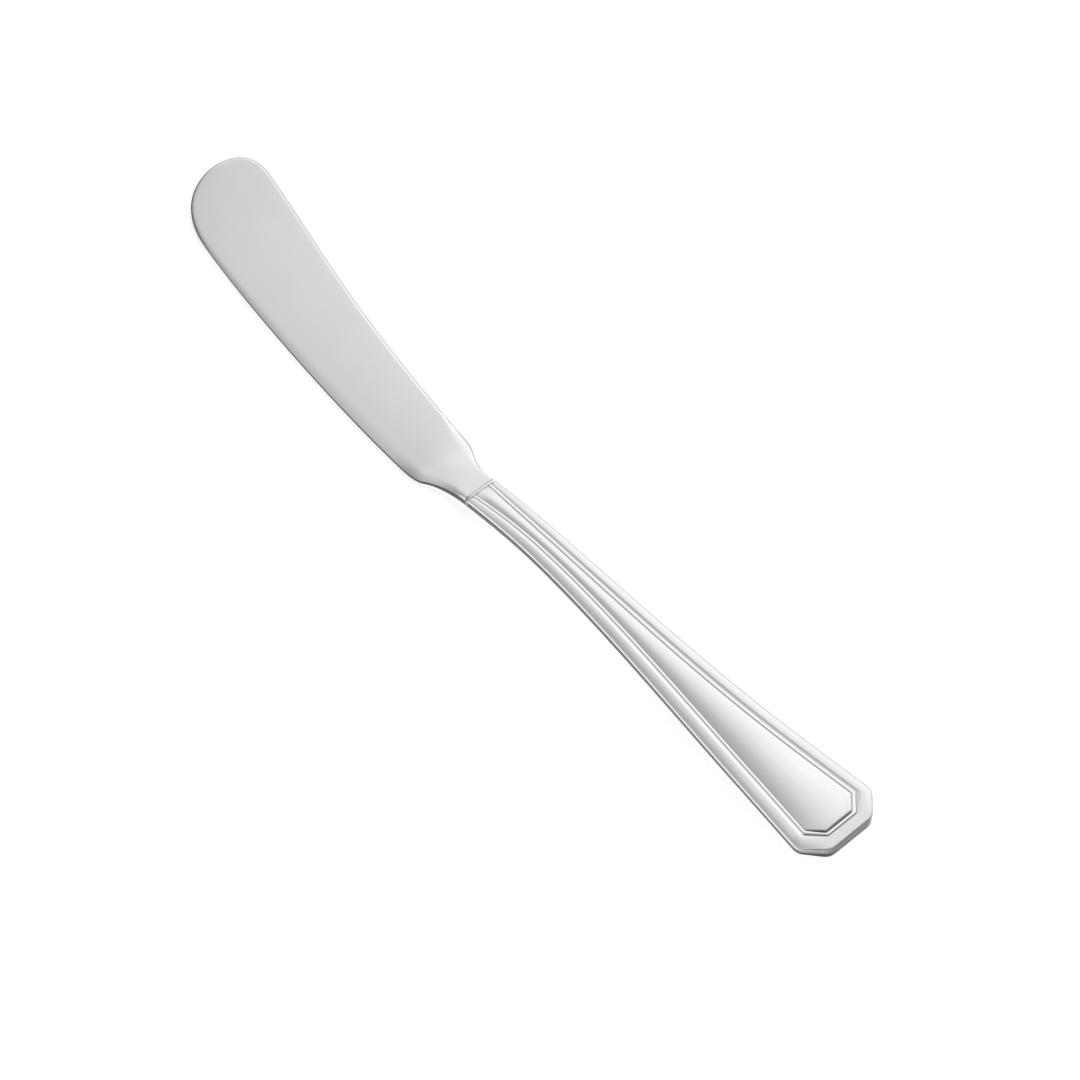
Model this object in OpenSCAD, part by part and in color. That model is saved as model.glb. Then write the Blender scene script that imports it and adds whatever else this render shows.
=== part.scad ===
// Butter knife with a hollow handle.
// The blade is one forging: paddle, heel, neck and a flat tang. The tang passes through a collar
// at the handle's mouth and is held by a hard filler inside two pressed shells, which are brazed
// together along their rims. The knife lies flat, with its cutting edge towards -Y, its tip
// towards -X and its butt towards +X. Lengths are in millimetres.
//
// The outlines are drawn about the handle's axis, with X counted from the middle of the collar.
// The finished knife is moved so that the origin is under the middle of its bounding box.

/* [Blade] */
// Length from the middle of the collar to the tip
blade_len = 85.8; // [70:0.1:110]
// Thickness of the flat middle of the blade
blade_thick = 1.2; // [0.9:0.05:2]
// Thickness along the blade's edges
edge_thick = 0.5; // [0.3:0.05:0.8]
// Width of the soft bevel along the cutting edge
edge_bevel_w = 2.2; // [1:0.1:3.5]
// Width of the narrow bevel along the spine and round the tip
spine_bevel_w = 0.6; // [0.3:0.1:1.5]
// Width of that bevel where it is widest, round the spine's shoulder
shoulder_bevel_w = 2.6; // [0.6:0.1:3.5]
// Length over which the bevel widens on each side of the shoulder
shoulder_bevel_len = 8; // [4:0.5:14]
// How far the cutting edge drops under the handle's axis at the heel
heel_drop = 6.25; // [5:0.05:9]
// Distance from the collar to the corner of the heel
heel_dist = 9.6; // [7:0.1:13]
// Length of the rounding at the corner of the heel
heel_round = 3.4; // [1:0.1:5]
// Height of the spine over the handle's axis at its shoulder
spine_h = 5.65; // [4:0.05:7]
// Distance from the collar to the spine's shoulder
spine_dist = 9.5; // [7:0.1:13]
// Height of the blade's highest point over the handle's axis
tip_top_h = 18.15; // [12:0.05:21]
// Distance of that highest point from the tip
tip_top_dist = 5.8; // [5:0.1:10]
// Height of the foremost point of the tip over the handle's axis
tip_nose_h = 11.9; // [7:0.1:14]

/* [Neck] */
// Half of the width of the neck at the collar
neck_half_w = 3.24; // [2.9:0.02:3.6]
// Height of the spine side over the handle's axis where the neck is slimmest
neck_slim_h = 3.1; // [2.4:0.05:3.2]
// Distance from the collar to the slimmest place
neck_slim_dist = 2.8; // [2.4:0.1:5]
// Thickness of the neck in its middle, at the collar
neck_thick = 2.5; // [2:0.05:3]
// Width of the bevels on the neck's sides, at the collar
neck_bevel_w = 0.5; // [0.4:0.05:1.5]
// Thickness of the neck along its sides, at the collar
neck_edge_thick = 1.3; // [1:0.05:2]
// Distance from the collar at which the neck starts to rise
neck_rise_dist = 6.5; // [5:0.1:10]
// Upward pitch of the neck at the collar, in degrees
neck_pitch = 10.5; // [6:0.5:13]
// Height of the collar's middle over the table
neck_level = 1.65; // [1.5:0.05:2.2]

/* [Tang] */
// Length of the tang behind the collar
tang_len = 34; // [20:1:50]
// Width of the tang
tang_w = 3.2; // [2.4:0.1:3.6]
// Thickness of the tang
tang_thick = 1; // [0.7:0.05:1.1]
// Radius of the two keying holes in the tang
key_r = 0.8; // [0.5:0.05:1.1]

/* [Collar] */
// Length of the collar along the knife
collar_len = 0.5; // [0.4:0.05:1.5]
// How far the collar's bead stands out from the neck's sides
collar_proud = 0.05; // [0.03:0.01:0.3]
// Height of the collar over all
collar_h = 2.6; // [2.55:0.05:3.4]

/* [Handle] */
// Length from the middle of the collar to the butt
handle_len = 88.5; // [70:0.1:110]
// Half of the handle's width at its waist
waist_half_w = 3.24; // [2.9:0.02:4]
// Distance from the collar to the waist
waist_dist = 7; // [5:0.5:14]
// Half of the handle's width at the butt's outer corners
butt_half_w = 8.32; // [6.5:0.02:10]
// Length of the butt's cut corners along the knife
butt_corner_len = 3.8; // [2.5:0.1:5]
// Half of the width of the butt's flat end
butt_end_half = 4.56; // [3.5:0.02:5.5]
// Rounding of the butt's corners
butt_round = 1.1; // [0.3:0.1:1.6]
// Spread of the handle's sides at the butt, in degrees
butt_spread = 6; // [3:0.5:8]
// Height of the handle's side wall at the collar
neck_wall = 1.95; // [1.5:0.05:2.3]
// Height of the side wall at the arch's crest
crest_wall = 1.85; // [1.2:0.05:2.2]
// Height of the side wall where the handle is widest
side_wall = 1.6; // [0.9:0.05:1.9]
// Height of the wall across the butt's end
butt_wall = 2; // [1.5:0.05:2.6]
// Length over which the side wall deepens towards the butt's end
butt_deepen_len = 6; // [4:0.5:12]
// Distance from the collar to the crest of the handle's arch
crest_dist = 19; // [12:0.5:26]
// Height of the crest over the table, at mid thickness
crest_level = 3.55; // [2.6:0.05:4.5]
// Distance from the butt to the place where the handle rests on the table
rest_dist = 20; // [12:0.5:30]
// How far the butt turns up behind that place
butt_lift = 0.25; // [0:0.05:0.8]

/* [Pattern] */
// Width of the rounding along the handle's rim
rim_r = 0.2; // [0.08:0.02:0.24]
// Height of that rounding along the sides
rim_h = 0.42; // [0.2:0.02:0.5]
// Height of that rounding across the butt's end
rim_end_h = 0.12; // [0.06:0.02:0.3]
// Width of the rim up to the foot of the border moulding
rim_w = 0.28; // [0.26:0.02:0.5]
// Depth of the fine line between the rim and the border moulding
rim_dip = 0.02; // [0:0.01:0.08]
// Height of the border moulding over the rim
border_h = 0.3; // [0.2:0.02:0.6]
// Height of the border where it lies flat, along the butt's end
border_end_h = 0.24; // [0.16:0.02:0.4]
// Share of the border's height that it has at the collar
border_start_share = 0.25; // [0.1:0.05:1]
// Length over which the border grows to its full height
border_start_len = 40; // [20:1:60]
// Depth of the two fine grooves under the top of the border moulding
groove_depth = 0.12; // [0.06:0.02:0.18]
// Distance from the bead's middle to each groove
groove_dist = 0.3; // [0.24:0.02:0.4]
// Height of the bead over the grooves
bead_rise = 0.16; // [0.08:0.02:0.25]
// Half of the bead's distance across at the collar
bead_neck_half = 1.74; // [1.5:0.02:1.9]
// Half of the bead's distance across at its narrowest
bead_waist_half = 1.12; // [1:0.02:1.3]
// Distance from the collar to that narrowest place
bead_waist_dist = 15.5; // [10:0.5:20]
// Half of the bead's distance across at its outer corners, near the butt
bead_butt_half = 5.4; // [4.5:0.05:6]
// Distance from the bead's end to the butt's end
bead_end_gap = 2.65; // [1.8:0.05:3]
// Half of the width of the bead's flat end
bead_end_half = 2.95; // [2.2:0.05:3.6]
// Length of the bead's cut corners along the knife
bead_corner_len = 2.65; // [1.8:0.05:3.4]
// Rise of the panel's edge over the groove
panel_step = 0.06; // [0.02:0.01:0.12]
// Crown of the panel where it is narrowest
crown_waist = 0.18; // [0.1:0.02:0.5]
// Crown of the panel at the butt
crown_butt = 0.84; // [0.4:0.02:1.1]
// How far the crown falls towards the panel's end
crown_fall = 0.35; // [0:0.05:0.6]
// Length over which it falls
crown_fall_len = 14; // [8:1:20]
// Length over which the crown grows behind the collar
crown_start_len = 3; // [1:0.5:6]

/* [Shells and filling] */
// Thickness of the pressed sheet
sheet = 0.4; // [0.3:0.02:0.45]
// Thickness of the brazed seam between the shells
seam = 0.1; // [0.06:0.02:0.2]
// Clearance round the filler and the tang
fit_gap = 0.03; // [0.02:0.01:0.06]

/* [Hidden] */

// How finely the curves are drawn
curve_steps = 24;
tip_steps = 9;
belly_steps = 15;
neck_steps = 14;
side_steps = 29;
collar_points = 44;
tang_steps = 16;
hole_fn = 48;

// Where the pieces start and end along X
mouth_x = collar_len / 2;
corner_x = handle_len - butt_corner_len;
bead_end_x = handle_len - bead_end_gap;
bead_corner_x = bead_end_x - bead_corner_len;
rest_x = handle_len - rest_dist;
deepen_x = handle_len - butt_deepen_len;
heel_start = heel_dist + heel_round;
tang_end_x = mouth_x + tang_len;

// The tang runs into the neck by its own thickness
tang_root = tang_thick;
cut_over = 1;

// Heights of the pattern over the rim
groove_h = border_h - groove_depth;
bead_round_half = groove_dist / 2;
panel_edge = groove_dist * 1.3;

// Control points of the blade's edges. In each pair the first share runs along the knife and the
// second across it, between the named sizes that the outline's function gives
nose_low_shares = [[1, 0.754], [0.978, 0.1], [0.852, -0.148]];
belly_shares = [[0.707, -0.543], [0.365, -1]];
heel_corner_shares = [0.2, [0.068, 0.198], [0.09, 0.253]];
heel_ogee_shares = [[0.224, 0.587], [0.585, 1.028], [1, 1]];
nose_high_shares = [0.822, 0.602];
crest_run_shares = [0.568, 0.882];
spine_shares = [[0.9, 0.99], [0.645, 0.677], [0.48, 0.306]];
shoulder_shares = [[0.277, 0.164], [0.603, 0.705]];
neck_slim_shares = [[0.65, 0], [0.35, 0.45]];

// Where the points across the blade lie on its bevels, and across the handle's pattern
edge_bevel_shares = [0, 0.2, 0.55, 1];
spine_bevel_shares = [1, 0.4, 0];
bevels_all_share = 0.83;
rim_round_share = 0.4;
border_crest_share = 0.68;
border_channel_share = 0.9;
border_shares = [0.12, 0.28, 0.46, 0.68, 0.79, 0.9, 1];
panel_shares = [0.15, 0.35, 0.6, 0.85];
inner_panel_shares = [0.3, 0.65];
inner_foot_share = 0.75;
crown_start_share = 0.25;
corner_round_shares = [1 / 3, 2 / 3, 1];
corner_round_all_shares = [0, 1 / 3, 2 / 3, 1];
end_shares = [0.4, 0.8];
key_shares = [0.42, 0.78];
side_power = 1.25;
front_power = 2;
back_power = 6;
collar_power = 4.5;
collar_step_shares = [-1, -0.6, 0, 0.6, 1];
bead_inner_round_share = 0.3;

function mix(a, b, s) = a + (b - a) * s;
function clamp01(s) = max(0, min(1, s));
function smooth(s) = let (c = clamp01(s)) c * c * (3 - 2 * c);
function arc_share(s) = let (c = clamp01(s)) 1 - (1 - c) * (1 - c);
// Cubic from a to b with the rise per unit of s at each end
function cubic(a, b, rise_a, rise_b, s) =
    (2 * s ^ 3 - 3 * s ^ 2 + 1) * a + (s ^ 3 - 2 * s ^ 2 + s) * rise_a
    + (3 * s ^ 2 - 2 * s ^ 3) * b + (s ^ 3 - s ^ 2) * rise_b;
// Points of a curve with four control points, without its first point
function curve(a, b, c, d) = [for (i = [1 : curve_steps]) let (s = i / curve_steps, r = 1 - s)
    r ^ 3 * a + 3 * r * r * s * b + 3 * r * s * s * c + s ^ 3 * d];
function bend(a, b, c, s) = (1 - s) ^ 2 * a + 2 * s * (1 - s) * b + s ^ 2 * c;

// Height over the table of the middle of the knife's thickness. The neck's underside leaves the
// table as a power of the distance, and the handle comes down until its panel rests
pitch_rise = tan(neck_pitch);
neck_lift = neck_level - neck_thick / 2;
lift_power = pitch_rise * neck_rise_dist / neck_lift;
function level_to_rest(x) = wall_h(x) / 2 + panel_h(x, 0, -1);
rest_level = level_to_rest(rest_x);
rest_rise = (level_to_rest(rest_x + sheet) - level_to_rest(rest_x - sheet)) / (2 * sheet);
function level(x) =
    x <= -neck_rise_dist ? mid_half(x)
    : x <= 0 ? mid_half(x) + neck_lift * (1 + x / neck_rise_dist) ^ lift_power
    : x <= crest_dist ? cubic(neck_level, crest_level, pitch_rise * crest_dist, 0, x / crest_dist)
    : x <= rest_x ? cubic(crest_level, rest_level, 0, rest_rise * (rest_x - crest_dist),
                          (x - crest_dist) / (rest_x - crest_dist))
    : rest_level + rest_rise * (x - rest_x) + butt_lift * ((x - rest_x) / rest_dist) ^ 2;

// Height of the handle's side wall
function wall_h(x) = x <= crest_dist
    ? mix(neck_wall, crest_wall, smooth(x / crest_dist))
    : mix(mix(crest_wall, side_wall, smooth((x - crest_dist) / (deepen_x - crest_dist))), butt_wall,
          smooth((x - deepen_x) / butt_deepen_len));

// Half of the handle's width, and half of the bead's distance across
function side_half(x) = x <= waist_dist
    ? mix(neck_half_w, waist_half_w, smooth(x / waist_dist))
    : cubic(waist_half_w, butt_half_w, 0, tan(butt_spread) * (corner_x - waist_dist),
            (x - waist_dist) / (corner_x - waist_dist));
function bead_half(x) = x <= bead_waist_dist
    ? cubic(bead_neck_half, bead_waist_half, 2 * (bead_waist_half - bead_neck_half), 0,
            max(0, x) / bead_waist_dist)
    : cubic(bead_waist_half, bead_butt_half, 0,
            tan(butt_spread) * (bead_corner_x - bead_waist_dist),
            (x - bead_waist_dist) / (bead_corner_x - bead_waist_dist));

// Height of the panel over the rim. The back's is flatter across, so that the knife rests without
// rolling
function crown(x) = mix(crown_waist, crown_butt,
        (bead_half(x) - bead_waist_half) / (bead_butt_half - bead_waist_half))
    * mix(crown_start_share, 1, smooth((x - mouth_x) / crown_start_len))
    - crown_fall * clamp01((x - bead_end_x + crown_fall_len) / crown_fall_len) ^ 2;
function panel_h(x, y, face) = groove_at(x) + panel_step
    + crown(x) * (1 - abs(y / (bead_half(x) - panel_edge)) ^ (face > 0 ? front_power : back_power));

// Height of the border moulding over the rim, at a share of its width from the outside. It is
// lowest at the collar and grows along the handle, and the groove's floor with it
function relief(x) = mix(border_start_share, 1, arc_share((x - mouth_x) / border_start_len));
function groove_at(x) = groove_h * relief(x);
function border_at(s) = s <= border_crest_share
    ? mix(-rim_dip, border_h, arc_share(s / border_crest_share))
    : mix(border_h, groove_h,
          smooth((s - border_crest_share) / (border_channel_share - border_crest_share)));

// The blade's lower edge, from the tip to the collar
function low_point(p) = [-blade_len * p[0], p[1] < 0 ? heel_drop * p[1] : tip_nose_h * p[1]];
function heel_point(p) = [mix(-heel_dist, -mouth_x, p[0]), mix(-heel_drop, -neck_half_w, p[1])];
nose = [-blade_len, tip_nose_h];
belly_start = low_point(nose_low_shares[2]);
heel_a = [-heel_start, -heel_drop];
heel_b = heel_point(heel_corner_shares[2]);
low_edge = concat(
    [nose],
    curve(nose, low_point(nose_low_shares[0]), low_point(nose_low_shares[1]), belly_start),
    curve(belly_start, low_point(belly_shares[0]), low_point(belly_shares[1]), heel_a),
    curve(heel_a, [-heel_dist - heel_round * heel_corner_shares[0], -heel_drop],
          heel_point(heel_corner_shares[1]), heel_b),
    curve(heel_b, heel_point(heel_ogee_shares[0]), heel_point(heel_ogee_shares[1]),
          heel_point(heel_ogee_shares[2])));

// The blade's upper edge, from the tip to the collar
function spine_point(p) = [-mix(spine_dist, blade_len, p[0]), mix(spine_h, tip_top_h, p[1])];
function shoulder_point(p) = [mix(-spine_dist, -neck_slim_dist, p[0]),
                              mix(spine_h, neck_slim_h, p[1])];
function slim_point(p) = [-mix(mouth_x, neck_slim_dist, p[0]), mix(neck_slim_h, neck_half_w, p[1])];
top_point = [-blade_len + tip_top_dist, tip_top_h];
run_end = spine_point(spine_shares[0]);
shoulder = [-spine_dist, spine_h];
slimmest = [-neck_slim_dist, neck_slim_h];
high_edge = concat(
    [nose],
    curve(nose, [-blade_len, mix(tip_nose_h, tip_top_h, nose_high_shares[0])],
          [-blade_len + tip_top_dist * nose_high_shares[1], tip_top_h], top_point),
    curve(top_point, [mix(top_point[0], run_end[0], crest_run_shares[0]), tip_top_h],
          [mix(top_point[0], run_end[0], crest_run_shares[0] + (1 - crest_run_shares[0]) / 3),
           mix(run_end[1], tip_top_h, crest_run_shares[1])], run_end),
    curve(run_end, spine_point(spine_shares[1]), spine_point(spine_shares[2]), shoulder),
    curve(shoulder, shoulder_point(shoulder_shares[0]), shoulder_point(shoulder_shares[1]), slimmest),
    curve(slimmest, slim_point(neck_slim_shares[0]), slim_point(neck_slim_shares[1]),
          [-mouth_x, neck_half_w]));
function low_y(x) = lookup(x, low_edge);
function high_y(x) = lookup(x, high_edge);

// Share of the way from the blade's section to the neck's
function neck_share(x) = smooth((x + heel_dist) / (heel_dist - mouth_x));
function edge_half(x) = mix(edge_thick, neck_edge_thick, neck_share(x)) / 2;
function mid_half(x) = mix(blade_thick, neck_thick, neck_share(x)) / 2;
function low_bevel(x) = mix(edge_bevel_w, neck_bevel_w, neck_share(x));
function shoulder_share(x) = 1 - smooth(abs(x + spine_dist) / shoulder_bevel_len);
function high_bevel(x) = mix(mix(spine_bevel_w, shoulder_bevel_w, shoulder_share(x)), neck_bevel_w,
                             neck_share(x));

// One closed section of the blade, square to X
function blade_ring(x) = let (
        low = low_y(x), high = high_y(x), width = high - low,
        fit = min(1, bevels_all_share * width / (low_bevel(x) + high_bevel(x))),
        flat_low = low + low_bevel(x) * fit, flat_high = high - high_bevel(x) * fit,
        ys = concat(
            [for (s = edge_bevel_shares) mix(low, flat_low, s)],
            [(flat_low + flat_high) / 2],
            [for (s = spine_bevel_shares) mix(high, flat_high, s)]),
        half = [for (y = ys) mix(edge_half(x), mid_half(x), min(
            arc_share((y - low) / low_bevel(x)),
            arc_share((high - y) / high_bevel(x)),
            arc_share((x + blade_len) / spine_bevel_w)))],
        n = len(ys))
    concat(
        [for (i = [0 : n - 1]) [x, ys[i], level(x) - half[i]]],
        [for (i = [n - 1 : -1 : 0]) [x, ys[i], level(x) + half[i]]]);
tip_run = 2 * tip_top_dist;
blade_stations = concat(
    [for (i = [1 : tip_steps]) -blade_len + tip_run * (i / tip_steps) ^ 2],
    [for (i = [1 : belly_steps]) mix(-blade_len + tip_run, -heel_start, i / belly_steps)],
    [for (i = [1 : neck_steps]) mix(-heel_start, -mouth_x, i / neck_steps)]);

// The same faces seen from the other side
function turned(faces) = [for (f = faces) [for (i = [len(f) - 1 : -1 : 0]) f[i]]];

// Solid through a row of closed sections with equal numbers of points. Each end is closed by
// triangles between its lower and its upper half
function ladder(base, n) = [for (j = [0 : n / 2 - 2]) let (a = base + j, b = base + n - 1 - j)
    each [[a, a + 1, b - 1], [a, b - 1, b]]];
module skin(rings) {
    n = len(rings[0]);
    m = len(rings);
    polyhedron(
        points = [for (ring = rings) each ring],
        faces = concat(
            ladder(0, n),
            turned(ladder((m - 1) * n, n)),
            [for (i = [0 : m - 2], j = [0 : n - 1]) let (k = (j + 1) % n)
                [i * n + j, (i + 1) * n + j, (i + 1) * n + k]],
            [for (i = [0 : m - 2], j = [0 : n - 1]) let (k = (j + 1) % n)
                [i * n + j, (i + 1) * n + k, i * n + k]]));
}

// Side view of the tang, grown by a clearance all round
module tang_side(from_x, to_x, grow) {
    xs = [for (i = [0 : tang_steps]) mix(from_x, to_x, i / tang_steps)];
    half = tang_thick / 2 + grow;
    polygon(concat(
        [for (x = xs) [x, level(x) - half]],
        [for (i = [tang_steps : -1 : 0]) [xs[i], level(xs[i]) + half]]));
}

module tang_bar(from_x, to_x, grow) {
    width = tang_w + 2 * grow;
    translate([0, width / 2, 0])
        rotate([90, 0, 0])
            linear_extrude(height = width)
                tang_side(from_x, to_x, grow);
}

// The keying holes' pegs, upright through the tang
module key_pegs(r, half_h) {
    for (s = key_shares) {
        x = mouth_x + tang_len * s;
        translate([x, 0, level(x) - half_h])
            cylinder(r = r, h = 2 * half_h, $fn = hole_fn);
    }
}

// A closed outline that lies inside or outside a base outline by grow: side points, a rounded
// corner, a cut corner, a rounded corner and the flat end, and the same mirrored
corner_turn = tan(45 / 2);
side_shares = [for (i = [0 : side_steps]) (i / side_steps) ^ side_power];
function half_outline(side, x_corner, x_end, end_half, r) = let (
        a = [x_corner, -side(x_corner)], b = [x_end, -end_half], along = (b - a) / norm(b - a),
        a0 = [x_corner - r, -side(x_corner - r)], a1 = a + r * along,
        b0 = b - r * along, b1 = [x_end, r - end_half])
    concat(
        [for (s = side_shares) let (x = mix(mouth_x, x_corner - r, s)) [x, -side(x)]],
        [for (s = corner_round_shares) bend(a0, a, a1, s)],
        [(a1 + b0) / 2],
        [for (s = corner_round_all_shares) bend(b0, b, b1, s)],
        [for (s = end_shares) [x_end, b1[1] * (1 - s)]]);
function both_sides(half) = concat(half,
    [for (i = [len(half) - 1 : -1 : 0]) [half[i][0], -half[i][1]]]);
function outer_outline(grow) = both_sides(half_outline(
    function (x) side_half(x) + grow, corner_x + grow * corner_turn, handle_len + grow,
    butt_end_half + grow * corner_turn, butt_round + grow * bead_inner_round_share));
function bead_outline(grow) = both_sides(half_outline(
    function (x) bead_half(x) + grow, bead_corner_x + grow * corner_turn, bead_end_x + grow,
    bead_end_half + grow * corner_turn, butt_round * bead_inner_round_share));
border_foot = outer_outline(-rim_w);
border_inside = bead_outline(groove_dist);
panel_outline = bead_outline(-panel_edge);
function border_outline(s) = [for (i = [0 : len(border_foot) - 1])
    mix(border_foot[i], border_inside[i], s)];

// Points of one side, points of one outline, and the number along the middle line that each meets
side_count = side_steps + 1;
outline_count = len(border_foot);
function middle_of(j) = min(j, outline_count - 1 - j, side_count - 1);
middle_x = [for (j = [0 : side_count - 1]) panel_outline[j][0]];
function panel_ring(s) = [for (j = [0 : outline_count - 1])
    mix(panel_outline[j], [middle_x[middle_of(j)], 0], s)];

// Rings of points at heights over the handle's middle level. The last is the middle line.
// A face of +1 is the front, and -1 the back
function at_height(outline, face, h) = [for (p = outline) [p[0], p[1], level(p[0]) + face * h]];
function over_groove(outline, face, rise) = [for (p = outline)
    [p[0], p[1], level(p[0]) + face * (wall_h(p[0]) / 2 + groove_at(p[0]) + rise)]];
// The rim and the border level out round the butt's end, and drop is how far a ring lies under
// the border there
function end_height(j, h, drop) = mix(h, border_end_h - drop, end_share(border_foot[j][0]));
function over_rim(outline, face, h, drop) = [for (j = [0 : outline_count - 1]) let (p = outline[j])
    [p[0], p[1], level(p[0]) + face * (wall_h(p[0]) / 2 + end_height(j, h, drop))]];
function over_border(s, face, let_in, drop) = let (outline = border_outline(s))
    [for (j = [0 : outline_count - 1]) let (p = outline[j])
        [p[0], p[1], level(p[0]) + face * (wall_h(p[0]) / 2
            + end_height(j, border_at(s) * relief(p[0]) - let_in, drop + let_in))]];
function end_share(x) = smooth((x - corner_x) / (handle_len - rim_w - corner_x));
function over_panel(outline, face, drop) = [for (p = outline)
    [p[0], p[1], level(p[0]) + face * (wall_h(p[0]) / 2 + panel_h(p[0], p[1], face) - drop)]];
middle_line = [for (x = middle_x) [x, 0]];

function shell_outside(face) = [
    at_height(outer_outline(0), face, seam / 2),
    over_rim(outer_outline(0), face, -rim_h, rim_end_h),
    over_rim(outer_outline(-rim_r * rim_round_share), face, -rim_h * rim_round_share,
             rim_end_h * rim_round_share),
    over_rim(outer_outline(-rim_r), face, 0, 0),
    over_rim(border_foot, face, -rim_dip, rim_dip),
    each [for (s = border_shares) over_border(s, face, 0, s < 1 ? 0 : border_end_h - groove_h)],
    over_groove(bead_outline(bead_round_half), face, bead_rise),
    over_groove(bead_outline(-bead_round_half), face, bead_rise),
    over_groove(bead_outline(-groove_dist), face, 0),
    over_panel(panel_outline, face, 0),
    each [for (s = panel_shares) over_panel(panel_ring(s), face, 0)],
    over_panel(middle_line, face, 0)];

// Inside of a shell, or the outside of the filler if it is let in by the fit gap
function shell_inside(face, gap) = [
    over_rim(outer_outline(-sheet - gap), face, -sheet - gap, sheet + gap),
    over_rim(outer_outline(-2 * sheet + rim_dip), face, -sheet * inner_foot_share - gap,
             sheet + gap),
    over_border(border_crest_share, face, sheet + gap, 0),
    over_groove(bead_outline(groove_dist), face, -sheet - gap),
    over_groove(bead_outline(-groove_dist), face, -sheet - gap),
    each [for (s = inner_panel_shares) over_panel(panel_ring(s), face, sheet + gap)],
    over_panel(middle_line, face, sheet + gap)];

// Triangles between neighbouring rings, whose point numbers start at base
function strip(base, rings) = let (n = outline_count) [
    for (k = [0 : rings - 3], j = [0 : n - 2]) let (a = base + k * n + j, b = a + n)
        each [[a, b, a + 1], [a + 1, b, b + 1]],
    for (j = [0 : n - 2]) let (
            a = base + (rings - 2) * n + j, m = base + (rings - 1) * n,
            c = m + middle_of(j), d = m + middle_of(j + 1))
        each (c == d ? [[a, c, a + 1]] : [[a, c, a + 1], [a + 1, c, d]])];
// Point numbers along the mouth, from the lower side over the middle line to the upper side
function mouth_row(base, rings) = concat(
    [for (k = [0 : rings - 1]) base + k * outline_count],
    [for (k = [rings - 2 : -1 : 0]) base + (k + 1) * outline_count - 1]);
// Triangles between two rows across the mouth, each running from the lower to the upper side
function zip(a, b, points, i, j) = i == len(a) - 1 && j == len(b) - 1 ? []
    : j == len(b) - 1 || (i < len(a) - 1 && points[a[i + 1]][1] <= points[b[j + 1]][1])
        ? concat([[a[i], a[i + 1], b[j]]], zip(a, b, points, i + 1, j))
        : concat([[a[i], b[j + 1], b[j]]], zip(a, b, points, i, j + 1));
function rows_of(rings) = [for (ring = rings) each ring];
function ring_end(rings) = len(rows_of(rings));
function bridge(a, b) = [for (j = [0 : outline_count - 2])
    each [[a + j, a + j + 1, b + j], [a + j + 1, b + j + 1, b + j]]];

module shell(face) {
    outside = shell_outside(face);
    inside = concat([at_height(outer_outline(-sheet), face, seam / 2)], shell_inside(face, 0));
    base = ring_end(outside);
    points = concat(rows_of(outside), rows_of(inside));
    faces = concat(
        strip(0, len(outside)),
        turned(strip(base, len(inside))),
        bridge(0, base),
        turned(zip(mouth_row(0, len(outside)), mouth_row(base, len(inside)), points, 0, 0)));
    polyhedron(points = points, faces = face > 0 ? faces : turned(faces));
}

module seam_ring() {
    rings = [for (side = [0, sheet], face = [-1, 1])
        at_height(outer_outline(-side), face, seam / 2)];
    n = outline_count;
    faces = concat(
        turned(bridge(n, 3 * n)),
        bridge(0, 2 * n),
        turned(bridge(0, n)),
        bridge(2 * n, 3 * n),
        [[0, 2 * n, 3 * n, n], [n - 1, 2 * n - 1, 4 * n - 1, 3 * n - 1]]);
    polyhedron(points = rows_of(rings), faces = faces);
}

module filler_body() {
    front = shell_inside(1, fit_gap);
    back = shell_inside(-1, fit_gap);
    base = ring_end(front);
    points = concat(rows_of(front), rows_of(back));
    polyhedron(
        points = points,
        faces = concat(
            strip(0, len(front)),
            turned(strip(base, len(back))),
            bridge(0, base),
            turned(zip(mouth_row(0, len(front)), mouth_row(base, len(back)), points, 0, 0))));
}

// Section of the collar, a rounded rectangle about the neck's middle
function collar_ring(x, grow) = [for (i = [0 : collar_points - 1]) let (
        turn = 360 * i / collar_points, c = cos(turn), s = sin(turn),
        half_w = neck_half_w + grow, half_h = (collar_h / 2 - collar_proud) + grow)
    [x, sign(c) * half_w * abs(c) ^ (2 / collar_power),
     neck_level + sign(s) * half_h * abs(s) ^ (2 / collar_power)]];

// Where the finished knife's bounding box has its middle
side_low = min([for (p = outer_outline(0)) p[1]]);
edge_low = min([for (x = blade_stations) low_y(x)]);
middle_at = [(handle_len + blade_stations[0]) / 2,
             (max([for (x = blade_stations) high_y(x)]) + min(side_low, edge_low)) / 2, 0];
module placed() { translate(-middle_at) children(); }

module blade() {
    color("lightgray") placed() {
        skin([for (x = blade_stations) blade_ring(x)]);
        difference() {
            tang_bar(-mouth_x - tang_root, tang_end_x, 0);
            key_pegs(key_r, tang_thick);
        }
    }
}

module neck_collar() {
    color("gainsboro") placed() difference() {
        skin([for (s = collar_step_shares)
            collar_ring(s * mouth_x, collar_proud * sqrt(1 - s * s))]);
        tang_bar(-mouth_x - cut_over, mouth_x + cut_over, fit_gap);
    }
}

module handle_front_shell() { color("silver") placed() shell(1); }

module handle_back_shell() { color("silver") placed() shell(-1); }

module seam_braze() { color("darkgray") placed() seam_ring(); }

module handle_filler() {
    color("dimgray") placed() {
        difference() {
            filler_body();
            tang_bar(mouth_x - cut_over, tang_end_x + fit_gap, fit_gap);
        }
        key_pegs(key_r - fit_gap, tang_thick / 2 + 2 * fit_gap);
    }
}

blade();
neck_collar();
handle_front_shell();
handle_back_shell();
seam_braze();
handle_filler();
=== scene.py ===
"""Butter knife with a hollow handle: the visual model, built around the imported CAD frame.

Lengths in the classes are in millimetres, about the handle's axis, with X counted from the middle
of the collar. RowFrame.place turns them into metres in the row's frame.
"""
import logging
import math
from dataclasses import dataclass, field
from enum import Enum
from typing import Callable, Sequence

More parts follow.
